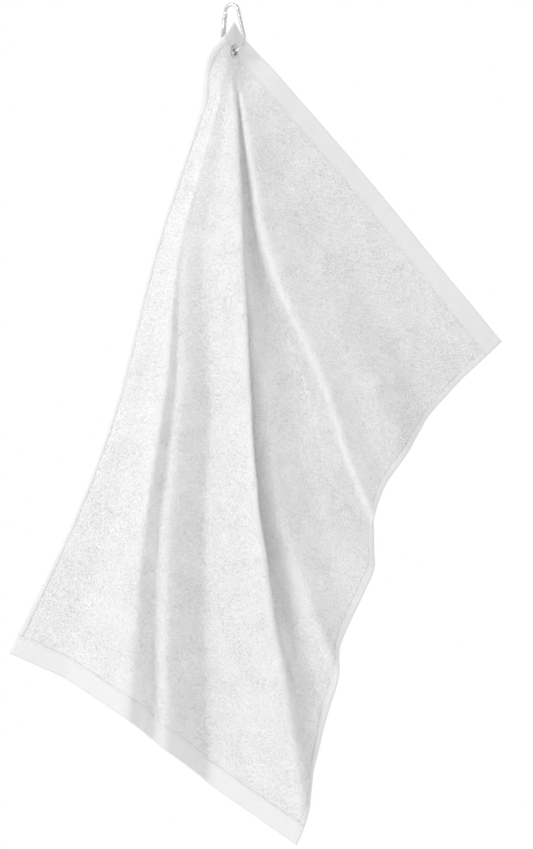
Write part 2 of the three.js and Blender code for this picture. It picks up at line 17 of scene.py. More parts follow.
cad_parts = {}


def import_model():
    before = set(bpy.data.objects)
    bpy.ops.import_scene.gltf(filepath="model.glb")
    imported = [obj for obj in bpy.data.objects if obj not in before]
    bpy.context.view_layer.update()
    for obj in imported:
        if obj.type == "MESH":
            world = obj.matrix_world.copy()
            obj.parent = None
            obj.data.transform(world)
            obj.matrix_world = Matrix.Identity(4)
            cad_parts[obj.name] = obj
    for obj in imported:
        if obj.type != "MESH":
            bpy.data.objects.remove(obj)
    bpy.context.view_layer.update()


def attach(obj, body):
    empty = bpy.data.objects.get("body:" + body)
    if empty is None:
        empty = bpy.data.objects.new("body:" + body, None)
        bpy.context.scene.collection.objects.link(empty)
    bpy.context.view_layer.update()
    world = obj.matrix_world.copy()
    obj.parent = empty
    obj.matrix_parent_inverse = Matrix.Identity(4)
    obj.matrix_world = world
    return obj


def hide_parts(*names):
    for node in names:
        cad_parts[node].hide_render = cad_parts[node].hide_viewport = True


LOG = logging.getLogger("golf_towel")
MM = 0.001
PILE_SHADE_LEVELS = (-9.0, 0.5, 0.62)  # patch noise above which each pile tone takes over; the darker tones are painted shade of brushed pile patches


class Body(Enum):
    """Rigid bodies of the frame that a piece can ride on."""

    HOOK = "hook"
    GATE = "gate"
    TOWEL = "towel"


class Side(Enum):
    """The two faces of the cloth."""

    FRONT = -1.0
    BACK = 1.0


# ---------------------------------------------------------------- finishes


class Nodes:
    """Short way to build a shader or geometry tree."""

    def __init__(self, tree: bpy.types.NodeTree) -> None:
        """Keeps the tree that nodes are added to."""
        self.tree = tree

    def add(self, kind: str, inputs: dict | None = None, **options: object) -> bpy.types.Node:
        """Adds a node.

        Args:
            kind: The node's type name.
            inputs: Values or output sockets, by socket name or number.
            options: Node properties.

        Returns:
            The new node.
        """
        node = self.tree.nodes.new(kind)
        for name, value in options.items():
            setattr(node, name, value)
        for key, value in (inputs or {}).items():
            if isinstance(value, bpy.types.NodeSocket):
                self.tree.links.new(value, node.inputs[key])
            else:
                node.inputs[key].default_value = value
        return node


def paint(
    nodes: Nodes, shader: bpy.types.Node, factor: bpy.types.NodeSocket, first: float, last: float
) -> None:
    """Colours a shader between two greys.

    Args:
        nodes: The material's node builder.
        shader: The shader to colour.
        factor: Socket that picks the grey, from 0 to 1.
        first: Grey level at 0.
        last: Grey level at 1.
    """
    colour = nodes.add("ShaderNodeMix", {"Factor": factor}, data_type="RGBA")
    colour.inputs[6].default_value = grey(first)
    colour.inputs[7].default_value = grey(last)
    nodes.tree.links.new(colour.outputs[2], shader.inputs["Base Color"])


def new_material(name: str) -> tuple[bpy.types.Material, Nodes, bpy.types.Node]:
    """Starts a material with a Principled shader.

    Args:
        name: The material's name.

    Returns:
        The material, its node builder and its shader node.
    """
    material = bpy.data.materials.new(name)
    material.use_nodes = True
    shader = material.node_tree.nodes["Principled BSDF"]
    return material, Nodes(material.node_tree), shader


def grey(level: float, warmth: float = 0.0) -> tuple[float, float, float, float]:
    """Opaque near-neutral colour, a little warm or cool."""
    return (level + warmth, level, level - warmth, 1.0)


@dataclass(frozen=True)
class PileFinish:
    """Brushed cotton tufts in three close whites; the two darker ones paint patches of pile shade.
    """

    tones: tuple[float, ...] = (0.95, 0.90, 0.80)
    roughness: float = 1.0
    sheen: float = 0.25

    def materials(self) -> list[bpy.types.Material]:
        """Makes one plain fibre material for each tone."""
        made = []
        for number, tone in enumerate(self.tones):
            material, _, shader = new_material(f"cotton_tuft_{number + 1}")
            shader.inputs["Base Color"].default_value = grey(tone, 0.001)
            shader.inputs["Roughness"].default_value = self.roughness
            shader.inputs["Sheen Weight"].default_value = self.sheen
            shader.inputs["Sheen Roughness"].default_value = 0.6
            shader.inputs["Specular IOR Level"].default_value = 0.1
            made.append(material)
        return made


@dataclass(frozen=True)
class GroundFinish:
    """Woven cotton ground under the pile."""

    light: float = 0.90
    dark: float = 0.78
    loop_mm: float = 1.4

    def material(self) -> bpy.types.Material:
        """Makes the ground's material."""
        material, nodes, shader = new_material("cotton_ground")
        place = nodes.add("ShaderNodeTexCoord").outputs["Object"]
        loops = nodes.add(
            "ShaderNodeTexVoronoi", {"Vector": place, "Scale": 1000.0 / self.loop_mm}
        )
        patch = nodes.add(
            "ShaderNodeTexNoise", {"Vector": place, "Scale": 45.0, "Detail": 3.0, "Roughness": 0.6}
        )
        blend = nodes.add(
            "ShaderNodeMath",
            {0: loops.outputs["Distance"], 1: patch.outputs["Fac"]},
            operation="MULTIPLY",
        )
        tone = nodes.add("ShaderNodeMapRange", {"Value": blend.outputs[0], "From Max": 0.45})
        paint(nodes, shader, tone.outputs[0], self.light, self.dark)
        bump = nodes.add(
            "ShaderNodeBump",
            {"Height": loops.outputs["Distance"], "Strength": 0.6, "Distance": 0.0006},
        )
        nodes.tree.links.new(bump.outputs["Normal"], shader.inputs["Normal"])
        shader.inputs["Roughness"].default_value = 1.0
        shader.inputs["Sheen Weight"].default_value = 0.2
        shader.inputs["Specular IOR Level"].default_value = 0.1
        return material


@dataclass(frozen=True)
class HemFinish:
    """Flat woven cotton of the hems, ribbed along the towel's edge."""

    name: str = "cotton_hem"
    light: float = 0.89
    dark: float = 0.81
    rib_mm: float = 1.1
    bump: float = 0.5

    def material(self) -> bpy.types.Material:
        """Makes the hem's material, on the piece's own flat map."""
        material, nodes, shader = new_material(self.name)
        flat = nodes.add("ShaderNodeUVMap", uv_map="flat").outputs["UV"]
        stretched = nodes.add("ShaderNodeMapping", {"Vector": flat})
        stretched.inputs["Scale"].default_value = (1000.0 / self.rib_mm, 1000.0 / self.rib_mm, 1.0)
        bands = {"Vector": stretched.outputs[0], "Scale": 0.5, "Distortion": 1.2, "Detail": 1.0}
        warp, weft = (
            nodes.add("ShaderNodeTexWave", bands, bands_direction=way).outputs["Fac"]
            for way in ("X", "Y")
        )
        weave = nodes.add("ShaderNodeMath", {0: warp, 1: weft}, operation="MULTIPLY")
        soil = nodes.add("ShaderNodeTexNoise", {"Vector": flat, "Scale": 60.0, "Detail": 4.0})
        both = nodes.add(
            "ShaderNodeMath", {0: weave.outputs[0], 1: soil.outputs["Fac"]}, operation="MULTIPLY"
        )
        paint(nodes, shader, both.outputs[0], self.dark, self.light)
        bump = nodes.add(
            "ShaderNodeBump",
            {"Height": weave.outputs[0], "Strength": self.bump, "Distance": 0.0004},
        )
        nodes.tree.links.new(bump.outputs["Normal"], shader.inputs["Normal"])
        shader.inputs["Roughness"].default_value = 0.9
        shader.inputs["Sheen Weight"].default_value = 0.15
        shader.inputs["Specular IOR Level"].default_value = 0.2
        return material


@dataclass(frozen=True)
class ThreadFinish:
    """Twisted cotton sewing thread."""

    level: float = 0.88

    def material(self) -> bpy.types.Material:
        """Makes the thread's material."""
        material, nodes, shader = new_material("cotton_thread")
        place = nodes.add("ShaderNodeTexCoord").outputs["Object"]
        twist = nodes.add("ShaderNodeTexNoise", {"Vector": place, "Scale": 900.0})
        paint(nodes, shader, twist.outputs["Fac"], self.level - 0.1, self.level)
        shader.inputs["Roughness"].default_value = 0.7
        return material


@dataclass(frozen=True)
class PlatedFinish:
    """Bright plated steel with faint handling marks."""

    name: str
    level: float = 0.8
    low_roughness: float = 0.16
    high_roughness: float = 0.2
    mark_scale: float = 40.0

    def material(self) -> bpy.types.Material:
        """Makes the plated metal's material."""
        material, nodes, shader = new_material(self.name)
        place = nodes.add("ShaderNodeTexCoord").outputs["Object"]
        marks = nodes.add(
            "ShaderNodeTexNoise",
            {"Vector": place, "Scale": self.mark_scale, "Detail": 5.0, "Roughness": 0.65},
        )
        rough = nodes.add(
            "ShaderNodeMapRange",
            {
                "Value": marks.outputs["Fac"],
                "To Min": self.low_roughness,
                "To Max": self.high_roughness,
            },
        )
        paint(nodes, shader, marks.outputs["Fac"], self.level - 0.05, self.level + 0.04)
        nodes.tree.links.new(rough.outputs[0], shader.inputs["Roughness"])
        shader.inputs["Metallic"].default_value = 1.0
        return material


# ---------------------------------------------------------------- mesh helpers


def make_object(
    name: str,
    points: np.ndarray,
    faces: Sequence[Sequence[int]] | np.ndarray,
    materials: Sequence[bpy.types.Material],
    flat: np.ndarray | None = None,
) -> bpy.types.Object:
    """Makes a smooth mesh object from points in millimetres.

    Args:
        name: The piece's name.
        points: Vertex places, one row each.
        faces: Vertex numbers of each face.
        materials: Materials for the mesh's slots.
        flat: Flat places of the vertices, for the map called "flat".

    Returns:
        The linked object.
    """
    mesh = bpy.data.meshes.new(name)
    mesh.from_pydata((np.asarray(points) * MM).tolist(), [], np.asarray(faces).tolist()
                     if isinstance(faces, np.ndarray) else [list(f) for f in faces])
    mesh.validate()
    mesh.polygons.foreach_set("use_smooth", [True] * len(mesh.polygons))
    for material in materials:
        mesh.materials.append(material)
    if flat is not None:
        layer = mesh.uv_layers.new(name="flat")
        corner = np.zeros(len(mesh.loops), dtype=np.int32)
        mesh.loops.foreach_get("vertex_index", corner)
        layer.data.foreach_set("uv", (flat[corner] * MM).ravel())
    mesh.update()
    piece = bpy.data.objects.new(name, mesh)
    bpy.context.scene.collection.objects.link(piece)
    return piece


def bake_modifiers(piece: bpy.types.Object) -> bpy.types.Object:
    """Turns a piece's modifiers into plain mesh and removes them."""
    graph = bpy.context.evaluated_depsgraph_get()
    mesh = bpy.data.meshes.new_from_object(piece.evaluated_get(graph))
    old = piece.data
    piece.modifiers.clear()
    piece.data = mesh
    mesh.name = piece.name
    bpy.data.meshes.remove(old)
    return piece


def apply_tree(
    piece: bpy.types.Object, tree: bpy.types.NodeTree, values: dict[str, float | int]
) -> None:
    """Puts a geometry tree on a piece and sets its named inputs by their identifiers."""
    modifier = piece.modifiers.new(tree.name, "NODES")
    modifier.node_group = tree
    for item in tree.interface.items_tree:
        if item.name in values:
            modifier[item.identifier] = values[item.name]


def face_outwards(piece: bpy.types.Object) -> None:
    """Merges doubles and points every face outwards."""
    work = bmesh.new()
    work.from_mesh(piece.data)
    bmesh.ops.remove_doubles(work, verts=work.verts, dist=1e-7)
    bmesh.ops.recalc_face_normals(work, faces=work.faces)
    work.to_mesh(piece.data)
    work.free()


def hand_over(piece: bpy.types.Object, body: Body, slot: str, *nodes: str) -> None:
    """Ties a finished piece to its body and hides the frame nodes it stands for."""
    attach(piece, body.value)
    if nodes:
        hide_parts(*nodes)
    triangles = sum(len(p.vertices) - 2 for p in piece.data.polygons)
    LOG.info("%s: %d triangles, rides on %s", piece.name, triangles, body.value)


def ramp(x: np.ndarray | float) -> np.ndarray | float:
    """Smooth 0 to 1 ramp."""
    t = np.clip(x, 0.0, 1.0)
    return t * t * (3.0 - 2.0 * t)


@dataclass
class SoftNoise:
    """Smooth random relief over the flat cloth."""

    seed: int
    cell: float
    lattice: np.ndarray = field(init=False)

    def __post_init__(self) -> None:
        """Draws the lattice once, from the seed."""
        self.lattice = np.random.default_rng(self.seed).uniform(-1.0, 1.0, (128, 128))

    def at(self, u: np.ndarray, v: np.ndarray) -> np.ndarray:
        """Relief from -1 to 1 at flat places.

        Args:
            u: Places along the short side.
            v: Places along the long side.

        Returns:
            The relief.
        """
        x = np.asarray(u) / self.cell + 64.0
        y = np.asarray(v) / self.cell + 64.0
        i = np.floor(x).astype(int)
        j = np.floor(y).astype(int)
        s = ramp(x - i)
        t = ramp(y - j)
        grid = self.lattice
        i0, i1, j0, j1 = i % 128, (i + 1) % 128, j % 128, (j + 1) % 128
        low = grid[i0, j0] * (1 - s) + grid[i1, j0] * s
        high = grid[i0, j1] * (1 - s) + grid[i1, j1] * s
        return low * (1 - t) + high * t


# ---------------------------------------------------------------- how the towel hangs


@dataclass(frozen=True)
class HookPlace:
    """Sizes of the hook and how it stands, shared by hook and towel."""

    wire: float = 3.2
    top_bow: float = 6.8
    bottom_bow: float = 11.2
    bow_spacing: float = 25.8
    turn_deg: float = -25.0
    tilt_deg: float = 4.0

    @property
    def top_centre(self) -> float:
        """Height of the top bow's centre in the upright hook."""
        return -(self.top_bow - self.wire / 2)

    @property
    def bottom_centre(self) -> float:
        """Height of the bottom bow's centre in the upright hook."""
        return self.top_centre - self.bow_spacing

    @property
    def taper(self) -> float:
        """Angle of the straight sides, in radians."""
        return math.asin((self.bottom_bow - self.top_bow) / self.bow_spacing)

    def stand(self) -> Matrix:
        """Turn from the upright hook to the hanging one."""
        turn = Matrix.Rotation(math.radians(self.turn_deg), 3, "Z")
        tilt = Matrix.Rotation(math.radians(-self.tilt_deg), 3, "Y")
        return turn @ tilt

    def place(self, points: np.ndarray) -> np.ndarray:
        """Moves points of the upright hook to the hanging one."""
        return np.asarray(points) @ np.array(self.stand()).T

    def grommet(self, drop: float) -> np.ndarray:
        """Centre of a grommet hanging a drop below the wire's centre line."""
        tilt = math.radians(self.tilt_deg)
        turn = math.radians(self.turn_deg)
        across = -self.bottom_centre * math.sin(tilt)
        height = self.bottom_centre * math.cos(tilt) - self.bottom_bow - drop
        return np.array([across * math.cos(turn), across * math.sin(turn), height])


@dataclass(frozen=True)
class FoldLine:
    """A fold running out of the grommet; angles in degrees, plus depth is away."""

    flat: float
    lean_top: float
    lean_middle: float
    lean_bottom: float
    depth_top: float
    depth_middle: float
    depth_bottom: float
    stretch: float


FOLD_LINES: tuple[FoldLine, ...] = (
    FoldLine(-26, 66, 60, 60, 19, 15, 10, 0.99),
    FoldLine(-12, 52.7, 50, 50, 16.5, 14, 10, 0.99),
    FoldLine(-3.4, 44.5, 43.8, 43.7, 14.5, 12.8, 9, 0.985),
    FoldLine(4.5, 36.5, 35.2, 35.4, 12, 10.8, 8, 0.985),
    FoldLine(12, 28.8, 28.2, 27.2, 9, 7.4, 6, 1.0),
    FoldLine(20.7, 20.3, 22.8, 24.8, 4.8, 1.2, -1, 1.02),
    FoldLine(26, 15.5, 18.9, 21, 1.5, -0.7, -2, 1.02),
    FoldLine(32.5, 9, 15.3, 20.5, -3, -3.6, -4.2, 1.025),
    FoldLine(39, 6.5, 12.6, 20, 0.8, 1.8, 2.4, 1.03),
    FoldLine(43.5, 4.5, 9, 14.4, 1.2, 1.2, 1.2, 1.035),
    FoldLine(46, 3.6, 6.6, 12, 0.5, -0.2, -0.8, 1.035),
    FoldLine(48.5, 2.5, 4.8, 11.3, -1, -1.5, -2.4, 1.035),
    FoldLine(51.5, 0.5, 1.6, 8.6, 0, -0.4, -1, 1.035),
    FoldLine(54.3, 1.4, 2, 6.4, -2, -1.6, -1.2, 1.035),
    FoldLine(57.2, 3.3, 3.1, 5.2, -6.3, -5.2, -3.4, 1.035),
    FoldLine(64.9, -8.3, -3.6, -2.1, -3.6, -0.2, 0.8, 1.018),
    FoldLine(71.2, -13, -8.3, -5.4, -4.8, -3.9, -2.3, 1.02),
    FoldLine(74, -14.5, -9.6, -6.3, -5, -3.4, -1.7, 1.024),
    FoldLine(80.5, -16, -11.2, -8.8, -5.4, -5.2, -3.7, 1.024),
    FoldLine(86.5, -18.4, -14.6, -15, -3.4, -2.4, -0.7, 0.994),
    FoldLine(91.9, -19.8, -17.7, -21.1, -2.2, -1.7, -1, 0.984),
    FoldLine(105, -27, -24, -26, 1.5, 2.5, 4, 0.984),
    FoldLine(120, -42, -34, -34, 4, 5, 6, 0.984),
)


@dataclass
class Drape:
    """Places of the hanging cloth for places on the flat towel."""

    width: float = 406.0
    length: float = 635.0
    inset: float = 20.0
    drop: float = 1.0
    hub_turn_deg: float = 53.0
    hub_inner: float = 9.0
    hub_outer: float = 55.0
    hub_drop: float = 12.0
    hub_flat: float = 7.5
    hub_bend: float = 8.0
    hub_spread_deg: float = 25.0
    depth_trim_deg: float = 0.31
    soft_deg: float = 2.4
    soft_width: float = 12.0
    samples: int = 4
    overrun: float = 1.5
    reaches: tuple[float, float, float] = (150.0, 350.0, 700.0)
    end_hem: float = 20.0
    side_hem: float = 6.0
    swell: float = 1.1
    ripple: float = 0.45
    pucker: float = 0.35
    pucker_width: float = 7.0
    relief_from: float = 12.0
    relief_blend: float = 60.0
    tip_overlap: float = 2.0
    normal_step: float = 1.2
    hook: HookPlace = field(default_factory=HookPlace)

    def __post_init__(self) -> None:
        """Sets up the grommet's place, the hub's axes and the relief."""
        turn = math.radians(self.hub_turn_deg)
        self.grommet = self.hook.grommet(self.drop)
        self.right = np.array([math.cos(turn), math.sin(turn), 0.0])
        self.down = np.array([0.0, 0.0, -1.0])
        spread = math.radians(self.hub_spread_deg)
        self.spread = np.array([math.cos(spread), math.sin(spread), 0.0])
        self.normal = np.cross(self.right, self.down)
        self.broad = SoftNoise(11, 46.0)
        self.fine = SoftNoise(12, 17.0)
        self.gather = SoftNoise(13, 7.5)

    def reach(self, u: np.ndarray, v: np.ndarray) -> np.ndarray:
        """Flat distance from the grommet's centre."""
        return np.hypot(u - self.inset, v - self.inset)

    def bent_part(self, across: np.ndarray) -> np.ndarray:
        """Width of the hub that has turned to face the front."""
        past = np.maximum(across - self.hub_flat, 0.0)
        turning = np.minimum(past, self.hub_bend)
        return turning**2 / (2 * self.hub_bend) + past - turning

    def smooth(self, u: np.ndarray, v: np.ndarray) -> np.ndarray:
        """Places on the smooth fall, before relief.

        Args:
            u: Places along the short side.
            v: Places along the long side.

        Returns:
            Points, with the last axis x, y, z.
        """
        du = np.asarray(u, dtype=float) - self.inset
        dv = np.asarray(v, dtype=float) - self.inset
        reach = np.hypot(du, dv)
        flat = np.degrees(np.arctan2(dv, du))
        across = (du - dv) / math.sqrt(2)
        below = (du + dv) / math.sqrt(2)
        bent = np.sign(across) * self.bent_part(np.abs(across))
        hub = (
            self.grommet
            + across[..., None] * self.right
            + bent[..., None] * (self.spread - self.right)
            + below[..., None] * self.down
        )
        share = ramp((reach - self.hub_inner) / (self.hub_outer - self.hub_inner))
        share = (share * ramp((below + self.tip_overlap) / self.hub_drop))[..., None]
        soft = np.minimum(self.soft_deg, np.degrees(self.soft_width / np.maximum(reach, 1.0)))
        top, middle, bottom = self.reaches
        upper = ramp((reach - top) / (middle - top))
        lower = ramp((reach - middle) / (bottom - middle))
        whole = ramp((reach - top) / (bottom - top))
        lines = np.stack([
            np.stack([
                f.lean_top
                + (f.lean_middle - f.lean_top) * upper
                + (f.lean_bottom - f.lean_middle) * lower,
                f.depth_top
                + (f.depth_middle - f.depth_top) * upper
                + (f.depth_bottom - f.depth_middle) * lower,
                1.0 + (f.stretch - 1.0) * whole,
            ])
            for f in FOLD_LINES
        ])
        starts = np.array([f.flat for f in FOLD_LINES])
        picks = np.indices(flat.shape)
        total = 0.0
        held = 0.0
        for k in range(-self.samples, self.samples + 1):
            weight = 1.0 + math.cos(math.pi * k / (self.samples + 1))
            x = flat + soft * k / self.samples
            i = np.clip(np.searchsorted(starts, x) - 1, 0, len(starts) - 2)
            t = (x - starts[i]) / (starts[i + 1] - starts[i])
            t = np.clip(t, -self.overrun, 1.0 + self.overrun)
            low = np.stack([lines[(i, q, *picks)] for q in range(3)])
            high = np.stack([lines[(i + 1, q, *picks)] for q in range(3)])
            held = held + weight * (low + (high - low) * t)
            total += weight
        lean = np.radians(held[0] / total)
        depth = np.radians(held[1] / total + self.depth_trim_deg)
        long = reach * held[2] / total
        fall = np.stack(
            [np.sin(lean) * np.cos(depth), np.sin(depth), -np.cos(lean) * np.cos(depth)], -1
        )
        return hub * (1 - share) + (self.grommet + fall * long[..., None]) * share

    def relief(self, u: np.ndarray, v: np.ndarray) -> np.ndarray:
        """Soft waves in the cloth and small gathers along its seams."""
        u = np.asarray(u, dtype=float)
        v = np.asarray(v, dtype=float)
        away = ramp((self.reach(u, v) - self.relief_from) / self.relief_blend)
        waves = self.swell * self.broad.at(u, v) + self.ripple * self.fine.at(u, v)
        side = np.minimum(u, self.width - u) - self.side_hem
        end = np.minimum(v, self.length - v) - self.end_hem
        near = np.exp(-((np.minimum(np.abs(side), np.abs(end)) / self.pucker_width) ** 2))
        return away * (waves + self.pucker * near * self.gather.at(u, v))

    def facing(
        self, place: Callable[[np.ndarray, np.ndarray], np.ndarray], u: np.ndarray, v: np.ndarray
    ) -> np.ndarray:
        """Unit normals, pointing to the back, of a surface over the flat towel."""
        step = self.normal_step
        along = place(u + step, v) - place(u - step, v)
        down = place(u, v + step) - place(u, v - step)
        normal = np.cross(along, down)
        return normal / np.linalg.norm(normal, axis=-1, keepdims=True)

    def surface(self, u: np.ndarray, v: np.ndarray) -> tuple[np.ndarray, np.ndarray]:
        """Middle surface and its normals, relief included.

        Args:
            u: Places along the short side.
            v: Places along the long side.

        Returns:
            Points and unit normals that point to the back.
        """
        base_normal = self.facing(self.smooth, u, v)
        points = self.smooth(u, v) + base_normal * self.relief(u, v)[..., None]

        def rough(a: np.ndarray, b: np.ndarray) -> np.ndarray:
            """The surface with its relief, on the fixed normals."""
            return self.smooth(a, b) + base_normal * self.relief(a, b)[..., None]

        return points, self.facing(rough, u, v)


# ---------------------------------------------------------------- cloth


def stops(start: float, end: float, fine: float, coarse: float, turn: float = 42.0) -> np.ndarray:
    """Grid stops, close together near the grommet's corner and even beyond it."""
    if start >= turn:
        return np.linspace(start, end, max(2, round((end - start) / coarse) + 1))
    near = np.linspace(start, turn, round((turn - start) / fine) + 1)
    far = np.linspace(turn, end, round((end - turn) / coarse) + 1)
    return np.concatenate([near, far[1:]])


def closed_sheet(
    drape: Drape,
    us: np.ndarray,
    vs: np.ndarray,
    half: Callable[[np.ndarray, np.ndarray], np.ndarray],
    hole: float,
) -> tuple[np.ndarray, np.ndarray, np.ndarray]:
    """Closed shell of cloth over a grid, open at the grommet.

    Args:
        drape: How the cloth hangs.
        us: Stops along the short side.
        vs: Stops along the long side.
        half: Half thickness at flat places.
        hole: Radius left open about the grommet.

    Returns:
        Vertices, faces and the vertices' flat places.
    """
    u, v = np.meshgrid(us, vs)
    middle, normal = drape.surface(u, v)
    offset = normal * half(u, v)[..., None]
    points = np.concatenate([(middle + offset).reshape(-1, 3), (middle - offset).reshape(-1, 3)])
    flat = np.tile(np.stack([u.ravel(), v.ravel()], -1), (2, 1))
    rows, columns = u.shape
    count = rows * columns
    far = drape.reach(u, v) > hole
    cell = far[:-1, :-1] & far[1:, :-1] & far[:-1, 1:] & far[1:, 1:]
    number = np.arange(count).reshape(rows, columns)
    a, b = number[:-1, :-1][cell], number[:-1, 1:][cell]
    c, d = number[1:, :-1][cell], number[1:, 1:][cell]
    back = np.stack([a, b, d, c], -1)
    front = np.stack([a, c, d, b], -1) + count
    walls = []
    padded = np.pad(cell, 1)
    here = padded[1:-1, 1:-1]
    sides = (
        (padded[:-2, 1:-1], number[:-1, 1:], number[:-1, :-1]),
        (padded[2:, 1:-1], number[1:, :-1], number[1:, 1:]),
        (padded[1:-1, :-2], number[:-1, :-1], number[1:, :-1]),
        (padded[1:-1, 2:], number[1:, 1:], number[:-1, 1:]),
    )
    for neighbour, first, second in sides:
        edge = here & ~neighbour
        p, q = first[edge], second[edge]
        walls.append(np.stack([p, q, q + count, p + count], -1))
    faces = np.concatenate([back, front, *walls])
    used = np.unique(faces)
    renumber = np.zeros(2 * count, dtype=int)
    renumber[used] = np.arange(len(used))
    return points[used], renumber[faces], flat[used]


@dataclass
class TerryField:
    """Ground cloth with pile on both faces."""

    drape: Drape
    ground: float = 2.2
    pressed: float = 1.8
    press_margin: float = 1.0
    press_blend: float = 10.0
    fine_step: float = 1.3
    step: float = 2.9
    overlap: float = 0.6
    hole: float = 4.3
    flange: float = 6.2
    tuft_height: float = 1.25
    tuft_radius: float = 0.62
    front_gap: float = 0.95
    back_gap: float = 1.35
    front_patches: int = 4
    back_patches: int = 2
    end_run: float = 1.3
    side_run: float = 1.0
    root_depth: float = 0.15
    pile_clear: float = 0.8
    pile_fine: float = 2.0
    pile_step: float = 4.0
    seed: int = 7

    def build_ground(self) -> bpy.types.Object:
        """Makes the closed ground cloth."""
        hem, side = self.drape.end_hem, self.drape.side_hem
        us = stops(side - self.overlap, self.drape.width - side + self.overlap,
                   self.fine_step, self.step)
        vs = stops(hem - self.overlap, self.drape.length - hem + self.overlap,
                   self.fine_step, self.step)
        shell = closed_sheet(self.drape, us, vs, self.half, self.hole)
        return make_object("terry_ground", shell[0], shell[1], [GroundFinish().material()],
                           shell[2])

    def half(self, u: np.ndarray, v: np.ndarray) -> np.ndarray:
        """Half thickness of the ground, squeezed under the grommet."""
        reach = self.drape.reach(u, v)
        share = ramp((reach - self.flange - self.press_margin) / self.press_blend)
        return (self.pressed + (self.ground - self.pressed) * share) / 2

    def build_pile(
        self, side: Side, patches: int, gap: float, tones: list[bpy.types.Material]
    ) -> list[bpy.types.Object]:
        """Makes the tufts of one face, in bands down the towel.

        Args:
            side: The face that the tufts stand on.
            patches: How many bands the face is split into.
            gap: Least distance between tufts.
            tones: Fibre materials, lightest first.

        Returns:
            The pile pieces.
        """
        made = []
        hem, rim = self.drape.end_hem - self.end_run, self.drape.side_hem - self.side_run
        bands = np.linspace(hem, self.drape.length - hem, patches + 1)
        for number, (top, bottom) in enumerate(zip(bands[:-1], bands[1:])):
            us = stops(rim, self.drape.width - rim, self.pile_fine, self.pile_step)
            vs = stops(top, bottom, self.pile_fine, self.pile_step)
            u, v = np.meshgrid(us, vs)
            middle, normal = self.drape.surface(u, v)
            root = side.value * (self.half(u, v) - self.root_depth)
            points = middle + normal * root[..., None]
            rows, columns = u.shape
            index = np.arange(rows * columns).reshape(rows, columns)
            away = self.drape.reach(u, v) > self.flange + self.pile_clear
            cell = away[:-1, :-1] & away[1:, :-1] & away[:-1, 1:] & away[1:, 1:]
            a, b = index[:-1, :-1][cell], index[:-1, 1:][cell]
            c, d = index[1:, :-1][cell], index[1:, 1:][cell]
            order = [a, b, d, c] if side is Side.BACK else [a, c, d, b]
            name = f"pile_{side.name.lower()}_{number + 1}"
            host = make_object(name, points.reshape(-1, 3), np.stack(order, -1), tones)
            seed = self.seed + 10 * number + (5 if side is Side.BACK else 0)
            self.grow(host, gap, seed, tones)
            made.append(bake_modifiers(host))
        return made

    def grow(
        self, host: bpy.types.Object, gap: float, seed: int, tones: list[bpy.types.Material]
    ) -> None:
        """Adds the tuft tree to a patch of cloth and sets its sizes."""
        apply_tree(host, pile_tree(tones), {
            "Gap": gap * MM,
            "Height": self.tuft_height * MM,
            "Radius": self.tuft_radius * MM,
            "Seed": seed,
        })


def new_tree(name: str, sizes: dict[str, str]) -> tuple[Nodes, bpy.types.Node, bpy.types.Node]:
    """Starts a geometry tree.

    Args:
        name: The tree's name.
        sizes: Named inputs after the geometry, with their socket types.

    Returns:
        The node builder, the input node and the output node.
    """
    tree = bpy.data.node_groups.new(name, "GeometryNodeTree")
    tree.interface.new_socket("Geometry", in_out="INPUT", socket_type="NodeSocketGeometry")
    for label, kind in sizes.items():
        tree.interface.new_socket(label, in_out="INPUT", socket_type=kind)
    tree.interface.new_socket("Geometry", in_out="OUTPUT", socket_type="NodeSocketGeometry")
    nodes = Nodes(tree)
    return nodes, nodes.add("NodeGroupInput"), nodes.add("NodeGroupOutput")


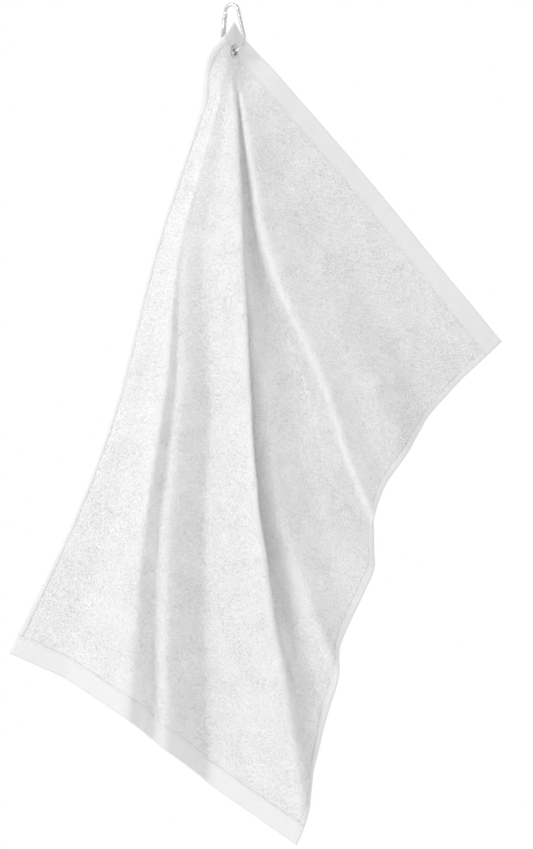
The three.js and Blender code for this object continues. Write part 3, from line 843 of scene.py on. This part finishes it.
def pile_tree(tones: list[bpy.types.Material]) -> bpy.types.NodeTree:
    """Tree that grows leaning tufts on a patch of cloth.

    Args:
        tones: Fibre materials, lightest first.

    Returns:
        The geometry tree.
    """
    nodes, given, out = new_tree(
        "terry_pile",
        {
            "Gap": "NodeSocketFloat",
            "Height": "NodeSocketFloat",
            "Radius": "NodeSocketFloat",
            "Seed": "NodeSocketInt",
        },
    )
    seed = given.outputs["Seed"]
    spread = nodes.add(
        "GeometryNodeDistributePointsOnFaces",
        {
            "Mesh": given.outputs["Geometry"],
            "Distance Min": given.outputs["Gap"],
            "Density Max": 1.4e6,
            "Seed": seed,
        },
        distribute_method="POISSON",
    )
    tuft = nodes.add(
        "GeometryNodeMeshCone",
        {
            "Vertices": 3,
            "Radius Top": 0.0,
            "Radius Bottom": given.outputs["Radius"],
            "Depth": given.outputs["Height"],
        },
        fill_type="NGON",
    )
    place = nodes.add("GeometryNodeInputPosition").outputs[0]
    brush = nodes.add(
        "ShaderNodeTexNoise", {"Vector": place, "Scale": 38.0, "Detail": 2.0}
    )
    centred = nodes.add(
        "ShaderNodeVectorMath",
        {0: brush.outputs["Color"], 1: (0.5, 0.5, 0.5)},
        operation="SUBTRACT",
    )
    swept = nodes.add(
        "ShaderNodeVectorMath",
        {0: centred.outputs[0], 1: (3.2, 3.2, 0.0)},
        operation="MULTIPLY",
    )
    spin = nodes.add(
        "FunctionNodeRandomValue",
        {0: (-0.5, -0.5, 0.0), 1: (0.5, 0.5, 6.283), "Seed": seed},
        data_type="FLOAT_VECTOR",
    )
    tilt = nodes.add(
        "ShaderNodeVectorMath", {0: swept.outputs[0], 1: spin.outputs[0]}, operation="ADD"
    )
    size = nodes.add(
        "FunctionNodeRandomValue",
        {0: (0.75, 0.75, 0.65), 1: (1.2, 1.2, 1.25), "Seed": seed},
        data_type="FLOAT_VECTOR",
    )
    stand = nodes.add(
        "GeometryNodeInstanceOnPoints",
        {
            "Points": spread.outputs["Points"],
            "Instance": tuft.outputs["Mesh"],
            "Rotation": spread.outputs["Rotation"],
            "Scale": size.outputs[0],
        },
    )
    lean = nodes.add(
        "GeometryNodeRotateInstances",
        {"Instances": stand.outputs[0], "Rotation": tilt.outputs[0]},
    )
    # Painted shade: this patch noise lays grey patches of brushed-pile shade over the tufts, and
    # the dither adds random speckle to each tuft.
    patch = nodes.add(
        "ShaderNodeTexNoise", {"Vector": place, "Scale": 30.0, "Detail": 3.0, "Roughness": 0.6}
    )
    dither = nodes.add(
        "FunctionNodeRandomValue", {2: -0.15, 3: 0.15, "Seed": seed}, data_type="FLOAT"
    )
    shade_and_speckle = nodes.add(
        "ShaderNodeMath", {0: patch.outputs["Fac"], 1: dither.outputs[1]}, operation="ADD"
    )
    flow = lean.outputs[0]
    for level, tone in zip(PILE_SHADE_LEVELS, tones):
        chosen = nodes.add("ShaderNodeMath", {0: shade_and_speckle.outputs[0], 1: level},
                           operation="GREATER_THAN")
        mark = nodes.add(
            "GeometryNodeStoreNamedAttribute",
            {"Geometry": flow, "Name": tone.name, "Value": chosen.outputs[0]},
            data_type="FLOAT",
            domain="INSTANCE",
        )
        flow = mark.outputs[0]
    real = nodes.add("GeometryNodeRealizeInstances", {"Geometry": flow})
    smooth = nodes.add("GeometryNodeSetShadeSmooth", {"Geometry": real.outputs[0]})
    flow = smooth.outputs[0]
    for tone in tones:
        read = nodes.add("GeometryNodeInputNamedAttribute", {"Name": tone.name},
                         data_type="FLOAT")
        dressed = nodes.add(
            "GeometryNodeSetMaterial",
            {"Geometry": flow, "Selection": read.outputs[0], "Material": tone},
        )
        flow = dressed.outputs[0]
    nodes.tree.links.new(flow, out.inputs[0])
    return nodes.tree


@dataclass
class Hems:
    """Flat end hems and rolled side hems."""

    drape: Drape
    end_thick: float = 3.0
    side_thick: float = 3.8
    edge_round: float = 1.6
    pressed: float = 1.9
    press_from: float = 7.2
    press_blend: float = 8.0
    seam_inset: float = 2.4
    groove_depth: float = 0.22
    groove_width: float = 0.9
    side_overlap: float = 0.6
    fine_step: float = 1.3
    step: float = 2.9
    hole: float = 4.3

    def end_half(self, u: np.ndarray, v: np.ndarray) -> np.ndarray:
        """Half thickness of an end hem, rounded at its outer edges."""
        edge = np.minimum(np.minimum(v, self.drape.length - v),
                          np.minimum(u, self.drape.width - u))
        side = np.clip(edge / self.edge_round, 0.02, 1.0)
        full = self.end_thick * np.sqrt(1.0 - (1.0 - side) ** 2)
        share = ramp((self.drape.reach(u, v) - self.press_from) / self.press_blend)
        pressed = self.pressed + (full - self.pressed) * share
        inner = self.drape.end_hem - self.seam_inset
        seam = np.abs(np.minimum(v, self.drape.length - v) - inner)
        groove = 1.0 - self.groove_depth * np.exp(-((seam / self.groove_width) ** 2))
        return np.minimum(full, pressed) * groove / 2

    def side_half(self, u: np.ndarray, v: np.ndarray) -> np.ndarray:
        """Half thickness of a side hem: a soft roll with a sewn groove."""
        edge = np.minimum(u, self.drape.width - u)
        width = self.drape.side_hem + self.side_overlap
        across = np.clip(edge / width, 0.005, 0.995)
        roll = np.sqrt(1.0 - (1.0 - np.minimum(across * 3.0, 1.0)) ** 2)
        inner = 1.0 - 0.35 * ramp((across - 0.6) / 0.35)
        return self.side_thick * np.maximum(roll * inner, 0.03) / 2

    def build(self) -> dict[str, bpy.types.Object]:
        """Makes the four hems.

        Returns:
            The hems by the frame node each stands for.
        """
        cloth = HemFinish().material()
        rolled = HemFinish(name="cotton_rolled_hem", light=0.9, dark=0.8, rib_mm=1.4).material()
        width, length = self.drape.width, self.drape.length
        band, side = self.drape.end_hem, self.drape.side_hem
        across = stops(0.0, width, self.fine_step, self.step)
        down = stops(band - 0.3, length - band + 0.3, self.fine_step, self.step)
        bend = np.array([0.0, 0.15, 0.5, 1.0, 1.6, 3.0, 5.0, 7.5, 10.0, 12.5, 15.0, 16.6, 17.6,
                         18.6, 19.4, 20.0])
        ends = np.array([0.0, 0.15, 0.5, 1.0])
        across = np.unique(np.concatenate([across, ends, width - ends]))
        roll = np.array([0.0, 0.12, 0.45, 1.0, 1.8, 2.8, 3.8, 4.8, 5.6,
                         side + self.side_overlap])
        grids = {
            "end_hem_upper": (across, bend, self.end_half, cloth),
            "end_hem_lower": (across, (length - bend)[::-1], self.end_half, cloth),
            "side_hem_left": (roll, down, self.side_half, rolled),
            "side_hem_right": ((width - roll)[::-1], down, self.side_half, rolled),
        }
        made = {}
        for node, (us, vs, half, finish) in grids.items():
            points, faces, flat = closed_sheet(self.drape, us, vs, half, self.hole)
            made[node] = make_object(f"{node}_cloth", points, faces, [finish], flat)
        return made


@dataclass
class Stitching:
    """Lockstitch rows along the hems."""

    drape: Drape
    hems: Hems
    pitch: float = 3.0
    stitch: float = 2.3
    thread: float = 0.34
    side_inset: float = 1.2
    grommet_clear: float = 8.5
    edge_clear: float = 2.0
    end_clear: float = 1.0
    step: float = 1.5

    def build(self) -> dict[str, bpy.types.Object]:
        """Makes one piece of stitching for each hem, on both faces of the cloth."""
        width, length = self.drape.width, self.drape.length
        row = self.drape.end_hem - self.hems.seam_inset
        column = self.drape.side_hem - self.side_inset
        start = self.drape.inset + self.grommet_clear
        band = self.drape.end_hem + self.end_clear
        u_line = np.arange(self.edge_clear, width - self.step, self.step)
        v_line = np.arange(band, length - band, self.step)
        free = u_line[u_line > start]
        rows = {
            "stitch_upper": (free, np.full_like(free, row), self.hems.end_half),
            "stitch_lower": (u_line, np.full_like(u_line, length - row), self.hems.end_half),
            "stitch_left": (np.full_like(v_line, column), v_line, self.hems.side_half),
            "stitch_right": (np.full_like(v_line, width - column), v_line, self.hems.side_half),
        }
        thread = ThreadFinish().material()
        tree = stitch_tree(thread)
        made = {}
        for node, (u, v, half) in rows.items():
            middle, normal = self.drape.surface(u, v)
            lift = normal * (half(u, v) + self.thread * 0.35)[..., None]
            paths = [middle - lift, middle + lift]
            points = np.concatenate(paths)
            count = len(u)
            edges = [(i, i + 1) for i in range(count - 1)]
            edges += [(i + count, i + 1 + count) for i in range(count - 1)]
            mesh = bpy.data.meshes.new(f"{node}_thread")
            mesh.from_pydata((points * MM).tolist(), edges, [])
            piece = bpy.data.objects.new(f"{node}_thread", mesh)
            bpy.context.scene.collection.objects.link(piece)
            apply_tree(piece, tree, {
                "Pitch": self.pitch * MM,
                "Half length": self.stitch / 2 * MM,
                "Thread": self.thread * MM,
            })
            made[node] = bake_modifiers(piece)
        return made


def stitch_tree(thread: bpy.types.Material) -> bpy.types.NodeTree:
    """Tree that lays separate stitches along a seam line."""
    nodes, given, out = new_tree(
        "stitch_row",
        {
            "Pitch": "NodeSocketFloat",
            "Half length": "NodeSocketFloat",
            "Thread": "NodeSocketFloat",
        },
    )
    line = nodes.add("GeometryNodeMeshToCurve", {"Mesh": given.outputs["Geometry"]})
    spots = nodes.add(
        "GeometryNodeCurveToPoints",
        {"Curve": line.outputs[0], "Length": given.outputs["Pitch"]},
        mode="LENGTH",
    )
    bead = nodes.add("GeometryNodeMeshUVSphere", {"Segments": 6, "Rings": 5, "Radius": 1.0})
    shape = nodes.add(
        "ShaderNodeCombineXYZ",
        {
            "X": given.outputs["Thread"],
            "Y": given.outputs["Thread"],
            "Z": given.outputs["Half length"],
        },
    )
    laid = nodes.add(
        "GeometryNodeInstanceOnPoints",
        {
            "Points": spots.outputs["Points"],
            "Instance": bead.outputs["Mesh"],
            "Rotation": spots.outputs["Rotation"],
            "Scale": shape.outputs[0],
        },
    )
    real = nodes.add("GeometryNodeRealizeInstances", {"Geometry": laid.outputs[0]})
    smooth = nodes.add("GeometryNodeSetShadeSmooth", {"Geometry": real.outputs[0]})
    dressed = nodes.add(
        "GeometryNodeSetMaterial", {"Geometry": smooth.outputs[0], "Material": thread}
    )
    nodes.tree.links.new(dressed.outputs[0], out.inputs[0])
    return nodes.tree


# ---------------------------------------------------------------- metalwork


def revolve(
    section: Sequence[tuple[float, float]], steps: int, closed: bool
) -> tuple[np.ndarray, list[list[int]]]:
    """Revolves a section about the Z axis.

    Args:
        section: Radius and height pairs, running so that the faces point outwards.
        steps: Steps round the axis.
        closed: True for a ring, False for a body whose ends reach the axis.

    Returns:
        Vertices and faces.
    """
    profile = list(section)
    count = len(profile)
    turn = np.arange(steps) * 2 * math.pi / steps
    points = np.array([
        (r * math.cos(t), r * math.sin(t), h) for t in turn for r, h in profile
    ])
    faces = []
    spans = count if closed else count - 1
    for s in range(steps):
        base, following = s * count, ((s + 1) % steps) * count
        for k in range(spans):
            n = (k + 1) % count
            faces.append([base + k, following + k, following + n, base + n])
    if not closed:
        low = len(points)
        points = np.concatenate([points, [(0, 0, profile[0][1]), (0, 0, profile[-1][1])]])
        for s in range(steps):
            base, following = s * count, ((s + 1) % steps) * count
            faces.append([low, following, base])
            faces.append([low + 1, base + count - 1, following + count - 1])
    return points, faces


def sweep(points: np.ndarray, radii: np.ndarray, steps: int) -> tuple[np.ndarray, list[list[int]]]:
    """Sweeps a round section along points in the hook's own plane.

    Args:
        points: Centre line in the plane y = 0.
        radii: Radius at each point.
        steps: Steps round the wire.

    Returns:
        Vertices and faces, closed at both ends.
    """
    along = np.gradient(points, axis=0)
    along /= np.linalg.norm(along, axis=1, keepdims=True)
    across = np.array([0.0, 1.0, 0.0])
    side = np.cross(across, along)
    turn = np.arange(steps) * 2 * math.pi / steps
    rings = (
        points[:, None]
        + radii[:, None, None] * np.cos(turn)[None, :, None] * side[:, None]
        + radii[:, None, None] * np.sin(turn)[None, :, None] * across
    )
    vertices = rings.reshape(-1, 3)
    faces = []
    for i in range(len(points) - 1):
        for k in range(steps):
            n = (k + 1) % steps
            a, b = i * steps + k, i * steps + n
            faces.append([a, b, b + steps, a + steps])
    faces.append(list(range(steps))[::-1])
    faces.append([(len(points) - 1) * steps + k for k in range(steps)])
    return vertices, faces


@dataclass
class SnapHook:
    """Pear-shaped snap hook with its sprung gate."""

    place: HookPlace
    gate_thick: float = 4.2
    gate_length: float = 20.5
    gate_start: float = 0.1
    tongue: float = 1.4
    nose_tongue: float = 2.1
    nose_tongue_reach: float = 3.1
    hinge_tongue: float = 2.3
    tongue_edge: float = 0.22
    catch_drop: float = 1.7
    gate_tail: float = 1.9
    slot_gap: float = 0.3
    nose_gap: float = 0.9
    pin: float = 0.65
    catch: float = 0.5
    sides: int = 32

    def side_point(self, t: float) -> np.ndarray:
        """Point of the left straight side, from the bottom bow at 0 to the top bow at 1."""
        taper, hook = self.place.taper, self.place
        low = np.array([-hook.bottom_bow * math.cos(taper), 0,
                        hook.bottom_centre + hook.bottom_bow * math.sin(taper)])
        high = np.array([-hook.top_bow * math.cos(taper), 0,
                         hook.top_centre + hook.top_bow * math.sin(taper)])
        return low + (high - low) * t

    @property
    def foot(self) -> np.ndarray:
        """Centre of the gate's pivot."""
        return self.side_point(self.gate_start)

    @property
    def rise(self) -> np.ndarray:
        """Unit direction up the gate."""
        along = self.side_point(1.0) - self.side_point(0.0)
        return along / np.linalg.norm(along)

    @property
    def gate_top(self) -> np.ndarray:
        """Centre of the gate's upper end."""
        return self.foot + self.rise * self.gate_length

    def build_frame(self, finish: bpy.types.Material) -> bpy.types.Object:
        """Makes the bent wire, from the nose over the top and round to the hinge."""
        hook, taper = self.place, self.place.taper
        nose = self.gate_top + self.rise * self.nose_gap
        top = np.linspace(math.pi - taper, taper, 40)
        bottom = np.linspace(taper, -math.pi - taper, 56)
        over = np.stack([hook.top_bow * np.cos(top), 0 * top,
                         hook.top_centre + hook.top_bow * np.sin(top)], -1)
        under = np.stack([hook.bottom_bow * np.cos(bottom), 0 * bottom,
                          hook.bottom_centre + hook.bottom_bow * np.sin(bottom)], -1)
        spine = np.linspace(over[-1], under[0], 16)[1:-1]
        entry = np.linspace(nose, over[0], 6)[:-1]
        path = np.concatenate([entry, over, spine, under])
        round_off = np.array([0.72, 0.9, 1.0])
        tips = np.array([0.0, 0.12, 0.4])
        start = path[0] + np.outer(tips, entry[1] - entry[0]) * 1.0
        finish_dir = (under[-1] - under[-2]) / np.linalg.norm(under[-1] - under[-2])
        end = under[-1] + np.outer(tips[::-1] * -0.8, finish_dir)
        path = np.concatenate([start, path[1:-1], end])
        radii = np.full(len(path), hook.wire / 2)
        radii[:3] *= round_off
        radii[-3:] *= round_off[::-1]
        vertices, faces = sweep(path, radii, self.sides)
        wire = make_object("hook_wire", hook.place(vertices), faces, [finish])
        face_outwards(wire)
        blocks = [
            (nose + self.rise * 1.2, self.gate_top - self.rise * self.nose_tongue_reach,
             self.nose_tongue),
            (self.side_point(0.0) - self.rise, self.foot + self.rise * 1.2, self.hinge_tongue),
        ]
        for start_at, end_at, width in blocks:
            self.join_block(wire, start_at, end_at, width, self.tongue)
        return wire

    def join_block(
        self,
        piece: bpy.types.Object,
        start: np.ndarray,
        end: np.ndarray,
        width: float,
        thick: float,
    ) -> None:
        """Adds a flat tongue with softened edges to a piece."""
        middle = (start + end) / 2
        length = float(np.linalg.norm(end - start))
        work = bmesh.new()
        work.from_mesh(piece.data)
        made = bmesh.ops.create_cube(work, size=1.0)["verts"]
        up = Vector((0, 0, 1)).rotation_difference(Vector(self.rise)).to_matrix()
        for vertex in made:
            local = Vector((vertex.co.x * width, vertex.co.y * thick, vertex.co.z * length))
            spot = up @ local + Vector(middle)
            vertex.co = (self.place.stand() @ spot) * MM
        edges = list({e for vertex in made for e in vertex.link_edges})
        bmesh.ops.bevel(work, geom=edges, offset=self.tongue_edge * MM, segments=3,
                        affect="EDGES", profile=0.5)
        for face in work.faces:
            face.smooth = True
        work.to_mesh(piece.data)
        work.free()

    def build_gate(self, finish: bpy.types.Material) -> bpy.types.Object:
        """Makes the round gate lever with its two slots."""
        radius, foot, length = self.gate_thick / 2, -self.gate_tail, self.gate_length
        section = [
            (radius - 0.7, foot), (radius - 0.25, foot + 0.15), (radius, foot + 0.6),
            (radius, length - 4.6), (radius - 0.22, length - 4.35), (radius - 0.22, length - 4.05),
            (radius, length - 3.8), (radius, length - 0.5), (radius - 0.2, length - 0.12),
            (radius - 0.6, length),
        ]
        points, faces = revolve(section, 40, closed=False)
        gate = make_object("gate_lever_round", points, faces, [finish])
        slot = self.tongue + 2 * self.slot_gap
        self.cut(gate, (8, slot, 6.2), (0, 0, -0.9))
        self.cut(gate, (8, slot, 6.0), (0, 0, length - 0.7))
        self.cut(gate, (4.0, 8, 1.9), (-1.05, 0, length - self.catch_drop))
        up = Vector((0, 0, 1)).rotation_difference(Vector(self.rise)).to_matrix()
        for vertex in gate.data.vertices:
            spot = up @ vertex.co + Vector(self.foot) * MM
            vertex.co = self.place.stand() @ spot
        return gate

    def cut(self, piece: bpy.types.Object, size: tuple, centre: tuple) -> None:
        """Cuts a block out of a piece that is still upright at the origin."""
        mesh = bpy.data.meshes.new("cutter")
        work = bmesh.new()
        bmesh.ops.create_cube(work, size=1.0)
        for vertex in work.verts:
            vertex.co = Vector(a * b + c for a, b, c in zip(vertex.co, size, centre)) * MM
        work.to_mesh(mesh)
        work.free()
        block = bpy.data.objects.new("cutter", mesh)
        bpy.context.scene.collection.objects.link(block)
        modifier = piece.modifiers.new("cut", "BOOLEAN")
        modifier.object = block
        modifier.solver = "EXACT"
        bake_modifiers(piece)
        bpy.data.objects.remove(block)

    def build_pin(
        self, name: str, at: np.ndarray, radius: float, length: float, finish: bpy.types.Material
    ) -> bpy.types.Object:
        """Makes a cross pin with domed ends."""
        half = length / 2
        dome = [(radius * math.sin(a), half - 0.25 + 0.25 * math.cos(a))
                for a in np.linspace(math.pi / 2, 0.2, 5)]
        section = [(r, -h) for r, h in reversed(dome)] + dome
        points, faces = revolve(section, 24, closed=False)
        swing = np.array([[1, 0, 0], [0, 0, 1], [0, -1, 0]], dtype=float)
        points = points @ swing.T + at
        pin = make_object(name, self.place.place(points), faces, [finish])
        face_outwards(pin)
        return pin

    def build(self) -> None:
        """Builds and hands over every piece of the hook."""
        plate = PlatedFinish("bright_plate").material()
        inner = PlatedFinish("spring_steel", level=0.6, low_roughness=0.2,
                             high_roughness=0.35).material()
        hand_over(self.build_frame(plate), Body.HOOK, "hook_metal", "hook_frame")
        hand_over(self.build_gate(plate), Body.GATE, "hook_metal", "gate_lever")
        pivot = self.build_pin("pivot_rivet", self.foot, self.pin, self.gate_thick - 0.1, plate)
        hand_over(pivot, Body.HOOK, "hook_metal", "gate_pivot_pin")
        catch_at = self.gate_top - self.rise * self.catch_drop
        catch = self.build_pin("catch_rivet", catch_at, self.catch, self.gate_thick - 0.8, plate)
        hand_over(catch, Body.HOOK, "hook_metal", "catch_pin")
        for node in ("gate_plunger", "gate_spring"):
            dress_node(node, inner)


def dress_node(node: str, finish: bpy.types.Material) -> None:
    """Gives a carried-over frame node its finish."""
    piece = bpy.data.objects[node]
    piece.data.materials.clear()
    piece.data.materials.append(finish)
    LOG.info("%s: frame node dressed in %s", node, finish.name)


@dataclass
class Grommet:
    """Pressed eyelet and its washer."""

    drape: Drape
    hole: float = 3.5
    wall: float = 0.45
    flange: float = 6.2
    plate: float = 0.55
    pressed: float = 2.4
    steps: int = 64

    def arc(
        self, centre: tuple[float, float], size: tuple[float, float], start: float, end: float
    ) -> list[tuple[float, float]]:
        """Points of an elliptical bend in the section; angles in degrees."""
        return [
            (centre[0] + size[0] * math.cos(a), centre[1] + size[1] * math.sin(a))
            for a in np.radians(np.linspace(start, end, 9))
        ]

    def place(self, points: np.ndarray) -> np.ndarray:
        """Moves points about the Z axis to the hub, +Z to the back of the cloth."""
        turn = Vector((0, 0, 1)).rotation_difference(Vector(self.drape.normal)).to_matrix()
        return np.asarray(points) @ np.array(turn).T + self.drape.grommet

    def build(self) -> None:
        """Builds and hands over both halves."""
        plate = PlatedFinish("nickel_plate", level=0.68, low_roughness=0.1,
                             high_roughness=0.24).material()
        face = self.pressed / 2 + 0.1
        outer = self.hole + self.wall
        lip = face + self.plate + 0.25
        mid = (self.hole + self.flange) / 2
        reach = (self.flange - self.hole) / 2
        section = [(outer, -face), (outer, lip)]
        section += self.arc((outer + 0.05, lip + 0.1), (0.9, 0.55), 0, 90)
        section += self.arc((outer + 0.05, lip + 0.1), (self.wall + 0.05, 0.55), 90, 180)
        section += [(self.hole, -face + 0.2)]
        section += self.arc((mid, -face), (reach, self.plate + 0.35), 180, 360)
        points, faces = revolve(section, self.steps, closed=True)
        eyelet = make_object("eyelet_ring", self.place(points), faces, [plate])
        washer_section = [(outer + 0.25, face)]
        washer_section += [(self.flange - 0.1, face)]
        washer_section += self.arc((self.flange - 0.3, face + self.plate * 0.5),
                                   (0.3, self.plate * 0.5), -60, 90)
        washer_section += [(outer + 0.25, face + self.plate)]
        points, faces = revolve(washer_section, self.steps, closed=True)
        washer = make_object("washer_ring", self.place(points), faces, [plate])
        for ring, node in ((eyelet, "grommet_eyelet"), (washer, "grommet_washer")):
            face_outwards(ring)
            hand_over(ring, Body.TOWEL, "grommet_metal", node)


# ---------------------------------------------------------------- studio


@dataclass
class Studio:
    """Pale floor, soft lights and the camera."""

    centre: tuple[float, float] = (0.033, -0.3953)
    frame_height: float = 0.8023
    distance: float = 6.0
    floor_level: float = -1.15
    ambient: float = 0.84
    key: float = 33.0
    fill: float = 6.0

    def build(self) -> None:
        """Sets up the world, the floor, the lights and the camera."""
        self.build_world()
        self.build_floor()
        aim = Vector((self.centre[0], 0.0, self.centre[1]))
        self.lamp("key_light", (-1.9, -1.9, 0.9), aim, 1.1, self.key)
        self.lamp("fill_light", (2.4, -2.2, -0.2), aim, 2.2, self.fill)
        self.build_camera()
        bpy.context.scene.view_settings.view_transform = "Standard"
        bpy.context.scene.view_settings.look = "None"

    def build_world(self) -> None:
        """White surround with grey bands that only reflections and light see."""
        world = bpy.data.worlds.new("studio")
        bpy.context.scene.world = world
        world.use_nodes = True
        nodes = Nodes(world.node_tree)
        ground = world.node_tree.nodes["Background"]
        ground.inputs["Color"].default_value = (1, 1, 1, 1)
        ground.inputs["Strength"].default_value = 1.0
        place = nodes.add("ShaderNodeTexCoord").outputs["Generated"]
        split = nodes.add("ShaderNodeSeparateXYZ", {"Vector": place})
        band = nodes.add("ShaderNodeMath", {0: split.outputs["X"]}, operation="ABSOLUTE")
        cards = nodes.add("ShaderNodeValToRGB", {"Fac": band.outputs[0]})
        ramp_stops = cards.color_ramp
        ramp_stops.elements[0].position = 0.0
        ramp_stops.elements[0].color = (1.0, 1.0, 1.0, 1)
        ramp_stops.elements[1].position = 1.0
        ramp_stops.elements[1].color = (0.95, 0.95, 0.95, 1)
        for position, level in ((0.22, 1.0), (0.34, 0.16), (0.52, 0.12), (0.66, 1.1)):
            step = ramp_stops.elements.new(position)
            step.color = (level, level, level, 1)
        soft = nodes.add(
            "ShaderNodeBackground", {"Color": cards.outputs[0], "Strength": self.ambient}
        )
        plain = nodes.add(
            "ShaderNodeBackground", {"Color": (1, 1, 1, 1), "Strength": self.ambient}
        )
        path = nodes.add("ShaderNodeLightPath")
        shaped = nodes.add(
            "ShaderNodeMixShader",
            {0: path.outputs["Is Glossy Ray"], 1: plain.outputs[0], 2: soft.outputs[0]},
        )
        final = nodes.add(
            "ShaderNodeMixShader",
            {0: path.outputs["Is Camera Ray"], 1: shaped.outputs[0], 2: ground.outputs[0]},
        )
        out = world.node_tree.nodes["World Output"]
        world.node_tree.links.new(final.outputs[0], out.inputs["Surface"])

    def build_floor(self) -> None:
        """Lays a round pale floor below the towel."""
        work = bmesh.new()
        bmesh.ops.create_circle(work, cap_ends=True, radius=1.3, segments=96)
        mesh = bpy.data.meshes.new("floor")
        work.to_mesh(mesh)
        work.free()
        for vertex in mesh.vertices:
            vertex.co.z = self.floor_level
        material, _, shader = new_material("pale_floor")
        shader.inputs["Base Color"].default_value = grey(0.88)
        shader.inputs["Roughness"].default_value = 0.7
        mesh.materials.append(material)
        floor = bpy.data.objects.new("floor", mesh)
        bpy.context.scene.collection.objects.link(floor)

    def lamp(
        self, name: str, at: tuple[float, float, float], aim: Vector, size: float, power: float
    ) -> None:
        """Adds a square soft light aimed at the towel."""
        data = bpy.data.lights.new(name, "AREA")
        data.size = size
        data.energy = power
        lamp = bpy.data.objects.new(name, data)
        lamp.location = at
        lamp.rotation_mode = "QUATERNION"
        lamp.rotation_quaternion = (aim - Vector(at)).to_track_quat("-Z", "Y")
        bpy.context.scene.collection.objects.link(lamp)

    def build_camera(self) -> None:
        """Places the level camera straight in front."""
        data = bpy.data.cameras.new("camera")
        data.sensor_width = 36.0
        data.lens = 36.0 * self.distance / self.frame_height
        camera = bpy.data.objects.new("camera", data)
        camera.location = (self.centre[0], -self.distance, self.centre[1])
        camera.rotation_euler = (math.pi / 2, 0.0, 0.0)
        bpy.context.scene.collection.objects.link(camera)
        bpy.context.scene.camera = camera


@dataclass
class GolfTowel:
    """The whole towel on its hook."""

    drape: Drape = field(default_factory=Drape)

    def build_cloth(self) -> None:
        """Builds the field, its pile, the hems and the stitching."""
        terry = TerryField(self.drape)
        ground = terry.build_ground()
        hand_over(ground, Body.TOWEL, "terry", "towel_cloth")
        tones = PileFinish().materials()
        pile = terry.build_pile(Side.FRONT, terry.front_patches, terry.front_gap, tones)
        pile += terry.build_pile(Side.BACK, terry.back_patches, terry.back_gap, tones)
        for patch in pile:
            hand_over(patch, Body.TOWEL, "terry")
        hems = Hems(self.drape)
        for node, hem in hems.build().items():
            hand_over(hem, Body.TOWEL, "hem", node)
        for node, row in Stitching(self.drape, hems).build().items():
            hand_over(row, Body.TOWEL, "thread", node)

    def build(self) -> None:
        """Builds every piece."""
        self.build_cloth()
        SnapHook(self.drape.hook).build()
        Grommet(self.drape).build()


def main() -> None:
    """Loads the frame, builds the towel in order and sets up the studio."""
    logging.basicConfig(level=logging.INFO, format="%(name)s: %(message)s")
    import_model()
    GolfTowel().build()
    Studio().build()
    bpy.context.view_layer.update()


if __name__ == "__main__":
    main()
